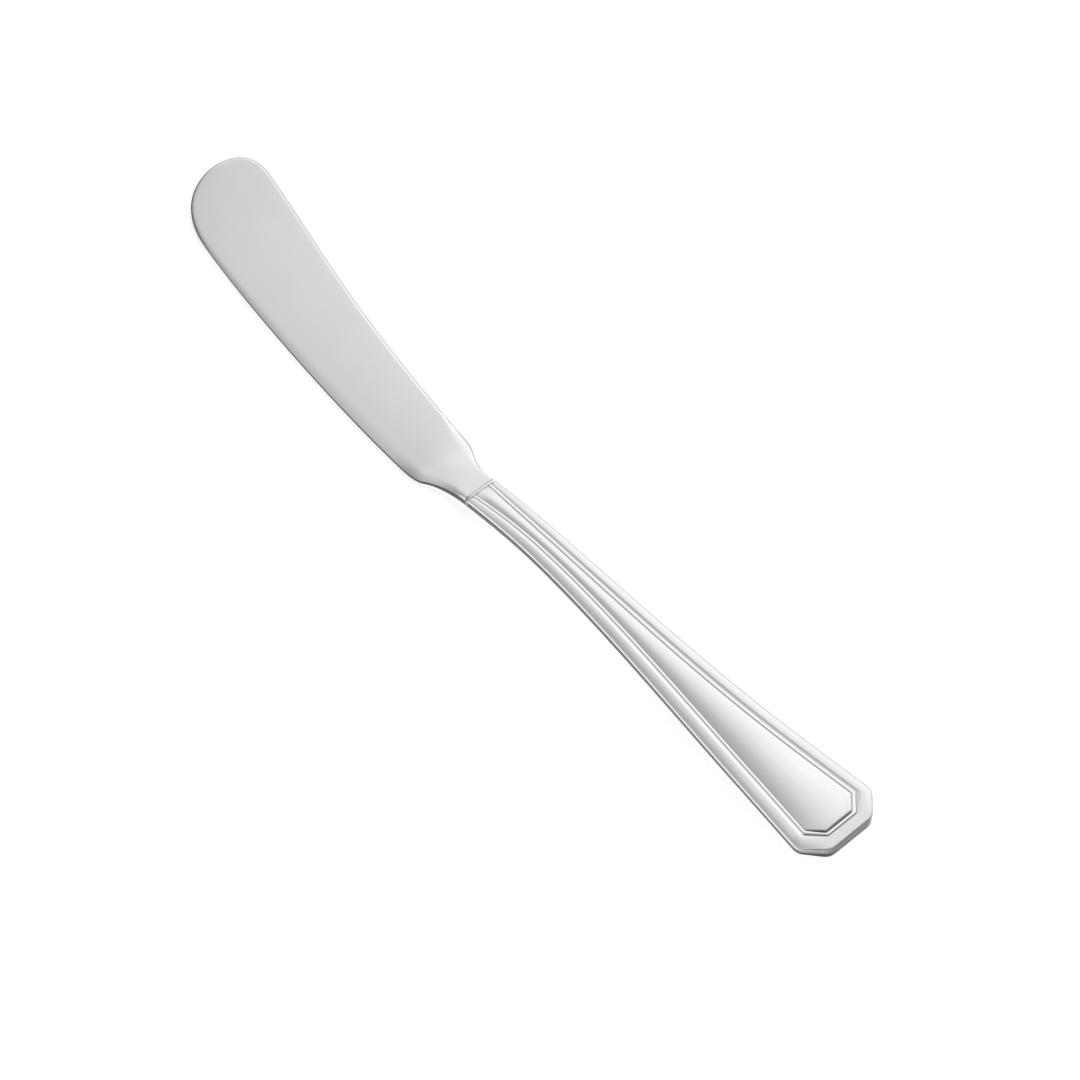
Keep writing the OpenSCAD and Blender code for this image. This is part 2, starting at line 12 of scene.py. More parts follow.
import bmesh
import bpy
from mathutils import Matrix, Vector


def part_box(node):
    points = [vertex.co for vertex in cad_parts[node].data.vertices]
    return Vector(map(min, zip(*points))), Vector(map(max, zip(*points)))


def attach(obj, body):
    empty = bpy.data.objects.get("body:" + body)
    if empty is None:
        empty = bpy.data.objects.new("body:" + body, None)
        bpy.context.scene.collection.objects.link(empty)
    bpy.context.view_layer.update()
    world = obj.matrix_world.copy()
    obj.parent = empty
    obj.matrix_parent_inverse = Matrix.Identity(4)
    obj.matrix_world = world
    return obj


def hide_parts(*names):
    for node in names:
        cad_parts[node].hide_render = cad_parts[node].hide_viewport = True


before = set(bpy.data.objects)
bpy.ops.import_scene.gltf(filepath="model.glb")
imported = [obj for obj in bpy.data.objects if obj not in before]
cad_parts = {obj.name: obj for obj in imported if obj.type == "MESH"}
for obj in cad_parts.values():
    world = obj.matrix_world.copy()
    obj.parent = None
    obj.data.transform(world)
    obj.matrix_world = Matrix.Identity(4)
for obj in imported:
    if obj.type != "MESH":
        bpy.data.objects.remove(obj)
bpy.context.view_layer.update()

LOG = logging.getLogger("butter_knife")
# Point attribute of painted light: above 0 painted shade, below 0 painted highlights.
PAINTED_LIGHT_ATTR = "tone"

Flat = tuple[float, float]
Triple = tuple[float, float, float]
Spot = Triple
Rail = list[Spot]
TonedRail = tuple[Rail, list[float]]
Shares = tuple[float, ...]
Socket = bpy.types.NodeSocket


class Face(Enum):
    """The two faces of the handle, as the sign of their direction along Z."""

    FRONT = 1
    BACK = -1


class Slot(Enum):
    """Names of material slots, which the pieces here don't use."""

    SATIN = "satin_steel"
    POLISHED = "polished_steel"
    BRAZE = "braze"


# ---------------------------------------------------------------------------------------------
# Curves
# ---------------------------------------------------------------------------------------------


def mix(a: float, b: float, s: float) -> float:
    """Value a share s of the way from a to b."""
    return a + (b - a) * s


def mix_flat(a: Flat, b: Flat, s: float) -> Flat:
    """Point a share s of the way from a to b."""
    return (mix(a[0], b[0], s), mix(a[1], b[1], s))


def clamp01(s: float) -> float:
    """The share s, held between 0 and 1."""
    return max(0.0, min(1.0, s))


def smooth(s: float) -> float:
    """Share s with a soft start and end."""
    c = clamp01(s)
    return c * c * (3.0 - 2.0 * c)


def arc_share(s: float) -> float:
    """Share s with a steep start and a level end."""
    c = clamp01(s)
    return 1.0 - (1.0 - c) ** 2


def cubic(a: float, b: float, rise_a: float, rise_b: float, s: float) -> float:
    """Cubic between two values with given rises.

    Args:
        a: Value at s = 0.
        b: Value at s = 1.
        rise_a: Rise per unit of s at the start.
        rise_b: Rise per unit of s at the end.
        s: Share of the way.

    Returns:
        The value at s.
    """
    return (
        (2 * s**3 - 3 * s**2 + 1) * a
        + (s**3 - 2 * s**2 + s) * rise_a
        + (3 * s**2 - 2 * s**3) * b
        + (s**3 - s**2) * rise_b
    )


def curve(a: Flat, b: Flat, c: Flat, d: Flat, steps: int = 48) -> list[Flat]:
    """Points of a curve with four control points, without its first point.

    Args:
        a: First point.
        b: First handle.
        c: Second handle.
        d: Last point.
        steps: Number of points.

    Returns:
        The points in order.
    """
    points: list[Flat] = []
    for i in range(1, steps + 1):
        s = i / steps
        r = 1.0 - s
        weights = (r**3, 3 * r * r * s, 3 * r * s * s, s**3)
        points.append(
            (
                sum(w * p[0] for w, p in zip(weights, (a, b, c, d))),
                sum(w * p[1] for w, p in zip(weights, (a, b, c, d))),
            )
        )
    return points


def curve_by_shares(
    start: Flat, place: Callable[[float, float], Flat], controls: Sequence[Flat], end: Flat
) -> list[Flat]:
    """Points of a curve whose control points are given as shares, without its first point.

    Args:
        start: First point.
        place: Turns two shares into a point.
        controls: The shares of the two control points.
        end: Last point.

    Returns:
        The points in order.
    """
    return curve(start, *(place(*control) for control in controls), end)


def bend(a: Flat, b: Flat, c: Flat, s: float) -> Flat:
    """Point at share s of the round corner from a to c about b."""
    r = 1.0 - s
    return (
        r * r * a[0] + 2 * s * r * b[0] + s * s * c[0],
        r * r * a[1] + 2 * s * r * b[1] + s * s * c[1],
    )


def along(points: Sequence[Flat], x: float) -> float:
    """Y of a row of points at x.

    Args:
        points: Points with rising X.
        x: Where to read.

    Returns:
        The Y read between the two nearest points.
    """
    low, high = 0, len(points) - 1
    if x <= points[low][0]:
        return points[low][1]
    if x >= points[high][0]:
        return points[high][1]
    while high - low > 1:
        half = (low + high) // 2
        if points[half][0] <= x:
            low = half
        else:
            high = half
    (x0, y0), (x1, y1) = points[low], points[high]
    return mix(y0, y1, (x - x0) / (x1 - x0)) if x1 > x0 else y1


def even(steps: int, first: int = 0) -> list[float]:
    """Even shares from first / steps up to 1."""
    return [i / steps for i in range(first, steps + 1)]


# ---------------------------------------------------------------------------------------------
# Form of the knife
# ---------------------------------------------------------------------------------------------


@dataclass
class KnifeForm:
    """Sizes that the blade and the handle share, and the heights along the knife."""

    collar_len: float = 0.5
    neck_half_w: float = 3.24
    neck_thick: float = 2.5
    neck_rise_dist: float = 6.5
    neck_pitch: float = 10.5
    neck_level: float = 1.65
    blade_thick: float = 1.2
    heel_dist: float = 9.6
    blade_len: float = 85.8
    handle_len: float = 88.5
    waist_half_w: float = 3.24
    waist_dist: float = 7.0
    butt_half_w: float = 8.32
    butt_corner_len: float = 3.8
    butt_spread: float = 6.0
    neck_wall: float = 1.95
    crest_wall: float = 1.85
    side_wall: float = 1.6
    butt_wall: float = 2.0
    butt_deepen_len: float = 6.0
    crest_dist: float = 19.0
    crest_level: float = 3.55
    rest_dist: float = 20.0
    butt_lift: float = 0.25
    border_h: float = 0.3
    border_start_share: float = 0.25
    border_start_len: float = 40.0
    groove_depth: float = 0.12
    groove_dist: float = 0.3
    bead_neck_half: float = 1.74
    bead_waist_half: float = 1.12
    bead_waist_dist: float = 15.5
    bead_butt_half: float = 5.4
    bead_end_gap: float = 2.65
    bead_corner_len: float = 2.65
    panel_step: float = 0.06
    crown_waist: float = 0.18
    crown_butt: float = 0.84
    crown_fall: float = 0.35
    crown_fall_len: float = 14.0
    crown_start_len: float = 3.0
    crown_start_share: float = 0.25
    front_power: float = 2.0
    back_power: float = 6.0
    panel_edge_share: float = 1.3
    sheet: float = 0.4
    seam: float = 0.1

    def __post_init__(self) -> None:
        """Works out the places that follow from the sizes."""
        self.mouth_x = self.collar_len / 2
        self.corner_x = self.handle_len - self.butt_corner_len
        self.bead_end_x = self.handle_len - self.bead_end_gap
        self.bead_corner_x = self.bead_end_x - self.bead_corner_len
        self.rest_x = self.handle_len - self.rest_dist
        self.deepen_x = self.handle_len - self.butt_deepen_len
        self.groove_h = self.border_h - self.groove_depth
        self.panel_edge = self.groove_dist * self.panel_edge_share
        self.pitch_rise = math.tan(math.radians(self.neck_pitch))
        self.neck_lift = self.neck_level - self.neck_thick / 2
        self.lift_power = self.pitch_rise * self.neck_rise_dist / self.neck_lift
        self.rest_level = self.level_to_rest(self.rest_x)
        self.rest_rise = (
            self.level_to_rest(self.rest_x + self.sheet)
            - self.level_to_rest(self.rest_x - self.sheet)
        ) / (2 * self.sheet)

    def neck_share(self, x: float) -> float:
        """Share of the way from the blade's section to the neck's."""
        return smooth((x + self.heel_dist) / (self.heel_dist - self.mouth_x))

    def mid_half(self, x: float) -> float:
        """Half of the blade's thickness in its middle."""
        return mix(self.blade_thick, self.neck_thick, self.neck_share(x)) / 2

    def level_to_rest(self, x: float) -> float:
        """Height of the handle's middle at which its panel would touch the table."""
        return self.wall_h(x) / 2 + self.panel_h(x, 0.0, Face.BACK)

    def level(self, x: float) -> float:
        """Height over the table of the middle of the knife's thickness.

        Args:
            x: Place along the knife.

        Returns:
            The height.
        """
        if x <= -self.neck_rise_dist:
            return self.mid_half(x)
        if x <= 0:
            rise = (1 + x / self.neck_rise_dist) ** self.lift_power
            return self.mid_half(x) + self.neck_lift * rise
        if x <= self.crest_dist:
            rise = self.pitch_rise * self.crest_dist
            return cubic(self.neck_level, self.crest_level, rise, 0, x / self.crest_dist)
        if x <= self.rest_x:
            run = self.rest_x - self.crest_dist
            s = (x - self.crest_dist) / run
            return cubic(self.crest_level, self.rest_level, 0, self.rest_rise * run, s)
        lift = self.butt_lift * ((x - self.rest_x) / self.rest_dist) ** 2
        return self.rest_level + self.rest_rise * (x - self.rest_x) + lift

    def wall_h(self, x: float) -> float:
        """Height of the handle's side wall.

        Args:
            x: Place along the knife.

        Returns:
            The height.
        """
        if x <= self.crest_dist:
            return mix(self.neck_wall, self.crest_wall, smooth(x / self.crest_dist))
        s = smooth((x - self.crest_dist) / (self.deepen_x - self.crest_dist))
        side = mix(self.crest_wall, self.side_wall, s)
        return mix(side, self.butt_wall, smooth((x - self.deepen_x) / self.butt_deepen_len))

    def side_half(self, x: float) -> float:
        """Half of the handle's width.

        Args:
            x: Place along the knife.

        Returns:
            The half width.
        """
        if x <= self.waist_dist:
            return mix(self.neck_half_w, self.waist_half_w, smooth(x / self.waist_dist))
        run = self.corner_x - self.waist_dist
        rise = math.tan(math.radians(self.butt_spread)) * run
        return cubic(self.waist_half_w, self.butt_half_w, 0, rise, (x - self.waist_dist) / run)

    def bead_half(self, x: float) -> float:
        """Half of the bead's distance across.

        Args:
            x: Place along the knife.

        Returns:
            The distance from the middle line to the bead's middle.
        """
        if x <= self.bead_waist_dist:
            start = 2 * (self.bead_waist_half - self.bead_neck_half)
            s = max(0.0, x) / self.bead_waist_dist
            return cubic(self.bead_neck_half, self.bead_waist_half, start, 0, s)
        run = self.bead_corner_x - self.bead_waist_dist
        rise = math.tan(math.radians(self.butt_spread)) * run
        s = (x - self.bead_waist_dist) / run
        return cubic(self.bead_waist_half, self.bead_butt_half, 0, rise, s)

    def crown(self, x: float) -> float:
        """Rise of the panel's middle over its edges.

        Args:
            x: Place along the knife.

        Returns:
            The rise, which starts low at the collar and falls off before the butt.
        """
        span = self.bead_butt_half - self.bead_waist_half
        wide = (self.bead_half(x) - self.bead_waist_half) / span
        grown = mix(self.crown_waist, self.crown_butt, wide)
        start = mix(self.crown_start_share, 1, smooth((x - self.mouth_x) / self.crown_start_len))
        fall = clamp01((x - self.bead_end_x + self.crown_fall_len) / self.crown_fall_len)
        return grown * start - self.crown_fall * fall**2

    def relief(self, x: float) -> float:
        """Share of the border's full height, which grows behind the collar."""
        grown = arc_share((x - self.mouth_x) / self.border_start_len)
        return mix(self.border_start_share, 1, grown)

    def groove_at(self, x: float) -> float:
        """Height of the groove's floor over the rim."""
        return self.groove_h * self.relief(x)

    def panel_h(self, x: float, y: float, face: Face) -> float:
        """Height of the panel over the rim. The back's is flatter across.

        Args:
            x: Place along the knife.
            y: Distance from the middle line.
            face: Which face's panel.

        Returns:
            The height.
        """
        across = abs(y) / (self.bead_half(x) - self.panel_edge)
        power = self.front_power if face is Face.FRONT else self.back_power
        return self.groove_at(x) + self.panel_step + self.crown(x) * (1 - across**power)


@dataclass
class RowFrame:
    """Where the knife lies in the row's frame, in metres."""

    middle_x: float
    middle_y: float
    unit: float = 0.001

    @classmethod
    def from_cad(cls, form: KnifeForm) -> "RowFrame":
        """Reads the place from the CAD box of the handle's front shell.

        Args:
            form: Sizes of the knife.

        Returns:
            The frame in which the outlines are drawn.
        """
        shell_low, shell_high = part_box("handle_front_shell")
        middle_x = form.handle_len - shell_high[0] / cls.unit
        middle_y = -(shell_low[1] + shell_high[1]) / 2 / cls.unit
        return cls(middle_x, middle_y)

    def place(self, spot: Spot) -> Vector:
        """Point of the row's frame, in metres, for a point of the outlines."""
        return Vector((spot[0] - self.middle_x, spot[1] - self.middle_y, spot[2])) * self.unit


# ---------------------------------------------------------------------------------------------
# Modelling
# ---------------------------------------------------------------------------------------------


def leave_all() -> None:
    """Deselects every object, in object mode."""
    if bpy.context.object and bpy.context.object.mode != "OBJECT":
        bpy.ops.object.mode_set(mode="OBJECT")
    bpy.ops.object.select_all(action="DESELECT")


def take(piece: bpy.types.Object) -> None:
    """Selects one object alone and makes it active.

    Args:
        piece: The object.
    """
    leave_all()
    piece.select_set(True)
    bpy.context.view_layer.objects.active = piece


@dataclass
class RailBody:
    """A closed body whose surface is extruded from rail to rail.

    Every rail has the same number of points. The first rail is a circle primitive set on its
    points, and each extrusion of its edges is set on the next rail. A number that each point
    carries says which of the rail's points it is. The tones are painted light: 0 for bare steel,
    up to 1 for painted shade and down to -1 for painted highlights.
    """

    name: str
    place: Callable[[Spot], Vector]
    rails: list[Rail]
    closed: bool = False
    ring: bool = False
    tones: list[list[float]] = field(default_factory=list)
    merge_dist: float = 1.0e-7
    circle_r: float = 0.01

    def build(self) -> bpy.types.Object:
        """Models the body.

        Returns:
            The new object, with its place in its mesh.
        """
        leave_all()
        count = len(self.rails[0])
        bpy.ops.mesh.primitive_circle_add(
            vertices=count, radius=self.circle_r, location=(0, 0, 0)
        )
        piece = bpy.context.object
        piece.name = self.name
        piece.data.name = self.name
        bpy.ops.object.mode_set(mode="EDIT")
        bpy.ops.mesh.select_mode(type="VERT")
        self._start(piece)
        for number in range(1, len(self.rails)):
            bpy.ops.mesh.extrude_edges_move()
            self._set_on_rail(piece, number)
        if self.ring:
            bpy.ops.mesh.extrude_edges_move()
            self._set_on_rail(piece, 0)
        bpy.ops.mesh.select_all(action="SELECT")
        bpy.ops.mesh.remove_doubles(threshold=self.merge_dist)
        bpy.ops.mesh.select_all(action="DESELECT")
        bpy.ops.mesh.select_mode(type="EDGE")
        bpy.ops.mesh.select_non_manifold(extend=False, use_wire=False, use_multi_face=False)
        if not (self.ring and self.closed):
            bpy.ops.mesh.edge_face_add()
        bpy.ops.mesh.select_mode(type="VERT")
        bpy.ops.mesh.select_all(action="SELECT")
        bpy.ops.mesh.normals_make_consistent(inside=False)
        bpy.ops.mesh.select_all(action="DESELECT")
        bpy.ops.object.mode_set(mode="OBJECT")
        return piece

    def _start(self, piece: bpy.types.Object) -> None:
        """Numbers the first rail's points, opens it if it isn't a loop, and sets it in place.

        Args:
            piece: The object in edit mode.
        """
        mesh = bmesh.from_edit_mesh(piece.data)
        mesh.verts.layers.int.new("spot")
        mesh.verts.layers.float.new(PAINTED_LIGHT_ATTR)
        spot = mesh.verts.layers.int["spot"]
        mesh.verts.ensure_lookup_table()
        for number, vert in enumerate(mesh.verts):
            vert[spot] = number
        if not self.closed:
            ends = {0, len(mesh.verts) - 1}
            for edge in list(mesh.edges):
                if {v.index for v in edge.verts} == ends:
                    mesh.edges.remove(edge)
        bmesh.update_edit_mesh(piece.data)
        self._set_on_rail(piece, 0)

    def _set_on_rail(self, piece: bpy.types.Object, number: int) -> None:
        """Moves the selected points onto a rail and gives them the rail's tones.

        Args:
            piece: The object in edit mode.
            number: Which rail.
        """
        mesh = bmesh.from_edit_mesh(piece.data)
        spot = mesh.verts.layers.int["spot"]
        tone = mesh.verts.layers.float[PAINTED_LIGHT_ATTR]
        rail = self.rails[number]
        for vert in mesh.verts:
            if vert.select:
                vert.co = self.place(rail[vert[spot]])
                if self.tones:
                    vert[tone] = self.tones[number][vert[spot]]
        bmesh.update_edit_mesh(piece.data)


def soften(piece: bpy.types.Object, sharp_from: float) -> None:
    """Shades a piece smooth, with edges steeper than an angle left sharp.

    Args:
        piece: The piece.
        sharp_from: Angle in degrees from which an edge stays sharp.
    """
    take(piece)
    bpy.ops.object.shade_smooth_by_angle(angle=math.radians(sharp_from))


def report(piece: bpy.types.Object) -> None:
    """Logs a finished piece with its number of faces."""
    LOG.info("%s: %d faces", piece.name, len(piece.data.polygons))


# ---------------------------------------------------------------------------------------------
# Finishes, with painted shade and painted highlights
# ---------------------------------------------------------------------------------------------


@dataclass
class Wiring:
    """The nodes of one material or of the world."""

    tree: bpy.types.NodeTree

    def fill(self, node: bpy.types.Node, values: dict[str | int, object]) -> None:
        """Fills the inputs of a node.

        Args:
            node: The node.
            values: What each input takes: a value, or the output that feeds it.
        """
        for key, value in values.items():
            if isinstance(value, Socket):
                self.tree.links.new(value, node.inputs[key])
            else:
                node.inputs[key].default_value = value

    def add(self, kind: str, values: dict[str | int, object], **options: object) -> bpy.types.Node:
        """Adds a node.

        Args:
            kind: The node's type.
            values: What each input takes: a value, or the output that feeds it.
            options: The node's own options, which are set first.

        Returns:
            The new node.
        """
        node = self.tree.nodes.new(kind)
        for name, option in options.items():
            setattr(node, name, option)
        self.fill(node, values)
        return node

    def blend(self, kind: str, share: Socket, start: object, end: object) -> Socket:
        """Adds a mix of two colours or of two numbers.

        Args:
            kind: "RGBA" for colours, "FLOAT" for numbers.
            share: Share of the end.
            start: What share 0 gives.
            end: What share 1 gives.

        Returns:
            The mixed output.
        """
        values = {"Factor": share, "A": start, "B": end}
        return self.add("ShaderNodeMix", values, data_type=kind).outputs["Result"]


@dataclass(frozen=True)
class Finish:
    """A surface with a fine grain, faint lines, and painted shade and highlights where its tone
    says.
    """

    name: str
    color: Triple
    painted_shade_color: Triple
    roughness: float
    rough_spread: float
    dark_roughness: float
    painted_highlight_color: Triple
    bright_roughness: float
    grain_scale: float
    grain_depth: float
    line_scale: Triple
    line_depth: float
    metallic: float = 1.0
    cloud_scale: float = 90.0
    cloud_spread: float = 0.03
    cloud_detail: float = 3.0
    grain_detail: float = 2.0
    line_detail: float = 4.0
    line_low: float = 0.3
    line_high: float = 0.7
    noise_roughness: float = 0.55

    def make(self) -> bpy.types.Material:
        """Makes the material.

        Returns:
            A material that reads Object coordinates and the piece's tones of painted shade and
            highlight.
        """
        material = bpy.data.materials.new(self.name)
        material.use_nodes = True
        wiring = Wiring(material.node_tree)
        where = wiring.add("ShaderNodeTexCoord", {}).outputs["Object"]
        grain = self._noise(wiring, where, (self.grain_scale,) * 3, self.grain_detail)
        lines = self._noise(wiring, where, self.line_scale, self.line_detail)
        color, roughness = self._bare(wiring, where, lines)
        # Painted light from the tone attribute: the shade colour above 0, the highlight colour
        # below 0.
        tone = wiring.add("ShaderNodeAttribute", {}, attribute_name=PAINTED_LIGHT_ATTR).outputs["Fac"]
        for end, painted_light_color, end_rough in (
            (1.0, self.painted_shade_color, self.dark_roughness),
            (-1.0, self.painted_highlight_color, self.bright_roughness),
        ):
            part = {0: tone, 1: end}
            clamped = wiring.add("ShaderNodeMath", part, operation="MULTIPLY", use_clamp=True)
            share = clamped.outputs["Value"]
            color = wiring.blend("RGBA", share, color, (*painted_light_color, 1.0))
            roughness = wiring.blend("FLOAT", share, roughness, end_rough)
        relief = {"Strength": 1.0, "Distance": self.grain_depth, "Height": grain}
        pits = wiring.add("ShaderNodeBump", relief).outputs["Normal"]
        relief = {"Strength": 1.0, "Distance": self.line_depth, "Height": lines, "Normal": pits}
        strokes = wiring.add("ShaderNodeBump", relief).outputs["Normal"]
        surface = {
            "Metallic": self.metallic,
            "Base Color": color,
            "Roughness": roughness,
            "Normal": strokes,
        }
        wiring.fill(material.node_tree.nodes["Principled BSDF"], surface)
        return material

    def _bare(self, wiring: Wiring, where: Socket, lines: Socket) -> tuple[Socket, Socket]:
        """Adds the bare surface, with faint clouds in its colour and lines in its gloss.

        Args:
            wiring: The material's nodes.
            where: Coordinates to read.
            lines: The noise of the lines.

        Returns:
            The colour and the roughness.
        """
        cloud = self._noise(wiring, where, (self.cloud_scale,) * 3, self.cloud_detail)
        low, high = (
            (*(min(1.0, c * (1 + side * self.cloud_spread)) for c in self.color), 1.0)
            for side in (-1, 1)
        )
        color = wiring.blend("RGBA", cloud, low, high)
        spread = {
            "Value": lines,
            "From Min": self.line_low,
            "From Max": self.line_high,
            "To Min": self.roughness - self.rough_spread,
            "To Max": self.roughness + self.rough_spread,
        }
        return color, wiring.add("ShaderNodeMapRange", spread).outputs["Result"]

    def _noise(self, wiring: Wiring, where: Socket, scale: Triple, detail: float) -> Socket:
        """Adds a noise that is stretched by a scale along each axis.

        Args:
            wiring: The material's nodes.
            where: Coordinates to read.
            scale: Waves per metre along each axis.
            detail: Number of finer layers.

        Returns:
            The noise's value.
        """
        stretch = wiring.add("ShaderNodeMapping", {"Vector": where, "Scale": scale})
        waves = {
            "Vector": stretch.outputs["Vector"],
            "Scale": 1.0,
            "Detail": detail,
            "Roughness": self.noise_roughness,
        }
        return wiring.add("ShaderNodeTexNoise", waves).outputs["Fac"]


# The dark colours are painted shade and the bright ones painted highlights, used where tones ask.
# The seam and the cement carry no tones, so theirs stay unused.
SATIN_STEEL = Finish(
    name="satin_steel_blade_with_painted_light",
    color=(0.74, 0.735, 0.725),
    painted_shade_color=(0.1, 0.1, 0.098),
    painted_highlight_color=(0.97, 0.965, 0.955),
    bright_roughness=0.26,
    roughness=0.33,
    rough_spread=0.04,
    dark_roughness=0.4,
    grain_scale=9000.0,
    grain_depth=0.0000004,
    line_scale=(260.0, 4200.0, 4200.0),
    line_depth=0.0000007,
)
POLISHED_STEEL = Finish(
    name="polished_steel_handle_with_painted_light",
    color=(0.8, 0.795, 0.785),
    painted_shade_color=(0.05, 0.049, 0.048),
    painted_highlight_color=(0.97, 0.965, 0.955),
    bright_roughness=0.08,
    roughness=0.12,
    rough_spread=0.03,
    dark_roughness=0.2,
    grain_scale=5000.0,
    grain_depth=0.0000003,
    line_scale=(300.0, 6000.0, 6000.0),
    line_depth=0.0000003,
)
BRAZED_SEAM = Finish(
    name="brazed_seam",
    color=(0.5, 0.49, 0.46),
    painted_shade_color=(0.2, 0.19, 0.18),
    painted_highlight_color=(0.6, 0.59, 0.56),
    bright_roughness=0.25,
    roughness=0.3,
    rough_spread=0.06,
    dark_roughness=0.4,
    grain_scale=7000.0,
    grain_depth=0.000003,
    line_scale=(900.0, 900.0, 900.0),
    line_depth=0.000002,
)
CUTLERS_CEMENT = Finish(
    name="cutlers_cement",
    color=(0.36, 0.34, 0.32),
    painted_shade_color=(0.2, 0.19, 0.18),
    painted_highlight_color=(0.45, 0.43, 0.4),
    bright_roughness=0.8,
    roughness=0.85,
    rough_spread=0.08,
    dark_roughness=0.9,
    grain_scale=2500.0,
    grain_depth=0.00005,
    line_scale=(800.0, 800.0, 800.0),
    line_depth=0.00003,
    metallic=0.0,
)


# ---------------------------------------------------------------------------------------------
# The knife's pieces
# ---------------------------------------------------------------------------------------------


@dataclass
class Blade:
    """The forged blade with its heel, its neck and its tang."""

    form: KnifeForm
    row: RowFrame
    edge_thick: float = 0.5
    heel_edge_bevel_w: float = 2.9
    tip_edge_bevel_w: float = 1.0
    edge_narrow_from: float = 15.0
    edge_narrow_run: float = 60.0
    spine_bevel_w: float = 0.9
    neck_bevel_w: float = 0.5
    neck_edge_thick: float = 1.3
    face_crown: float = 0.14
    shoulder_bevel_w: float = 2.6
    shoulder_bevel_len: float = 8.0
    # Tones below are painted light: painted shade on the bevels, along the edges, at the tip and
    # where the collar's shadow falls by the mouth; the negative ones are painted highlights.
    bevel_tone: float = 0.12
    heel_bevel_tone: float = 0.6
    heel_tone_len: float = 7.0
    tip_bevel_tone: float = 0.3
    neck_bevel_tone: float = 0.35
    spine_tone: float = -1.0
    spine_fade_from: float = 35.0
    spine_fade_run: float = 35.0
    tip_spine_tone: float = -0.35
    spine_shine_from: float = 0.45
    spine_shine_run: float = 0.35
    neck_spine_tone: float = 0.2
    line_tone: float = 0.25
    neck_line_tone: float = 0.5
    tip_line_tone: float = 0.9
    tip_line_share: float = 0.2
    tip_line_from: float = 69.0
    tip_line_run: float = 9.0
    line_w: float = 0.3
    cut_from: float = -0.35
    cut_run: float = 0.9
    neck_line_w: float = 0.3
    mouth_line_from: float = 0.3
    mouth_line_to: float = 0.45
    mouth_line_tone: float = 0.5
    tip_tone: float = 0.08
    tip_fade_from: float = 60.0
    neck_tone: float = -0.38
    neck_tone_from: float = 12.5
    neck_tone_run: float = 4.5
    heel_drop: float = 6.25
    heel_round: float = 3.4
    spine_h: float = 5.65
    spine_dist: float = 9.5
    tip_top_h: float = 18.15
    tip_top_dist: float = 5.8
    tip_nose_h: float = 11.9
    neck_slim_h: float = 3.15
    neck_slim_dist: float = 2.8
    tang_len: float = 34.0
    tang_w: float = 3.2
    tang_thick: float = 1.0
    key_r: float = 0.8
    key_shares: Shares = (0.42, 0.78)
    neck_steps: int = 44
    belly_steps: int = 66
    tip_steps: int = 56
    edge_shares: Shares = (0.0, 0.04, 0.1, 0.2, 0.32, 0.48, 0.7, 1.0)
    face_shares: Shares = (1.0, 0.8, 0.6, 0.4, 0.2)
    tang_steps: int = 40
    key_points: int = 48
    key_cut_len: float = 4.0
    sharp_from: float = 38.0
    # Control points of the outline's curves, each as the two shares that its method takes
    belly_at: Flat = (0.852, -0.148)
    nose_low: tuple[Flat, Flat] = ((1.0, 0.754), (0.978, 0.1))
    belly_low: tuple[Flat, Flat] = ((0.707, -0.543), (0.365, -1.0))
    heel_round_share: float = 0.2
    heel_turn: Flat = (0.068, 0.198)
    heel_end: Flat = (0.09, 0.253)
    heel_mouth: tuple[Flat, Flat] = ((0.224, 0.587), (0.585, 1.028))
    nose_high: tuple[Flat, Flat] = ((0.0, 0.822), (0.602, 1.0))
    tip_back: tuple[Flat, Flat] = ((0.568, 1.0), (0.712, 0.882))
    back_at: Flat = (0.9, 0.99)
    back_shoulder: tuple[Flat, Flat] = ((0.645, 0.677), (0.48, 0.306))
    shoulder_neck: tuple[Flat, Flat] = ((0.277, 0.164), (0.603, 0.88))

    def __post_init__(self) -> None:
        """Draws the blade's two edges and the outline that joins them."""
        f = self.form
        nose = (-f.blade_len, self.tip_nose_h)
        belly = self._low(*self.belly_at)
        heel_start = (-(f.heel_dist + self.heel_round), -self.heel_drop)
        heel = (-f.heel_dist - self.heel_round * self.heel_round_share, -self.heel_drop)
        heel_end = self._heel(*self.heel_end)
        self.low_edge = [
            nose,
            *curve_by_shares(nose, self._low, self.nose_low, belly),
            *curve_by_shares(belly, self._low, self.belly_low, heel_start),
            *curve(heel_start, heel, self._heel(*self.heel_turn), heel_end),
            *curve_by_shares(heel_end, self._heel, self.heel_mouth, self._heel(1.0, 1.0)),
        ]
        top = self._nose(1.0, 1.0)
        back = self._spine(*self.back_at)
        shoulder = (-self.spine_dist, self.spine_h)
        slim = (-self.neck_slim_dist, self.neck_slim_h)
        self.high_edge = [
            nose,
            *curve_by_shares(nose, self._nose, self.nose_high, top),
            *curve_by_shares(top, self._back, self.tip_back, back),
            *curve_by_shares(back, self._spine, self.back_shoulder, shoulder),
            *curve_by_shares(shoulder, self._shoulder, self.shoulder_neck, slim),
            (-f.mouth_x, self.neck_slim_h),
        ]
        self.points, self.widths = self._outline()
        self.inwards = self._inwards(self.points)

    def _nose(self, along_share: float, across_share: float) -> Flat:
        """Control point between the nose and the top of the tip."""
        return (
            -self.form.blade_len + self.tip_top_dist * along_share,
            mix(self.tip_nose_h, self.tip_top_h, across_share),
        )

    def _back(self, along_share: float, across_share: float) -> Flat:
        """Control point between the top of the tip and the spine's long run."""
        top, back = self._nose(1.0, 1.0), self._spine(*self.back_at)
        return (mix(top[0], back[0], along_share), mix(back[1], top[1], across_share))

    def _low(self, along_share: float, across_share: float) -> Flat:
        """Control point of the cutting edge."""
        across = self.heel_drop if across_share < 0 else self.tip_nose_h
        return (-self.form.blade_len * along_share, across * across_share)

    def _heel(self, along_share: float, across_share: float) -> Flat:
        """Control point between the heel and the collar."""
        f = self.form
        return (
            mix(-f.heel_dist, -f.mouth_x, along_share),
            mix(-self.heel_drop, -f.neck_half_w, across_share),
        )

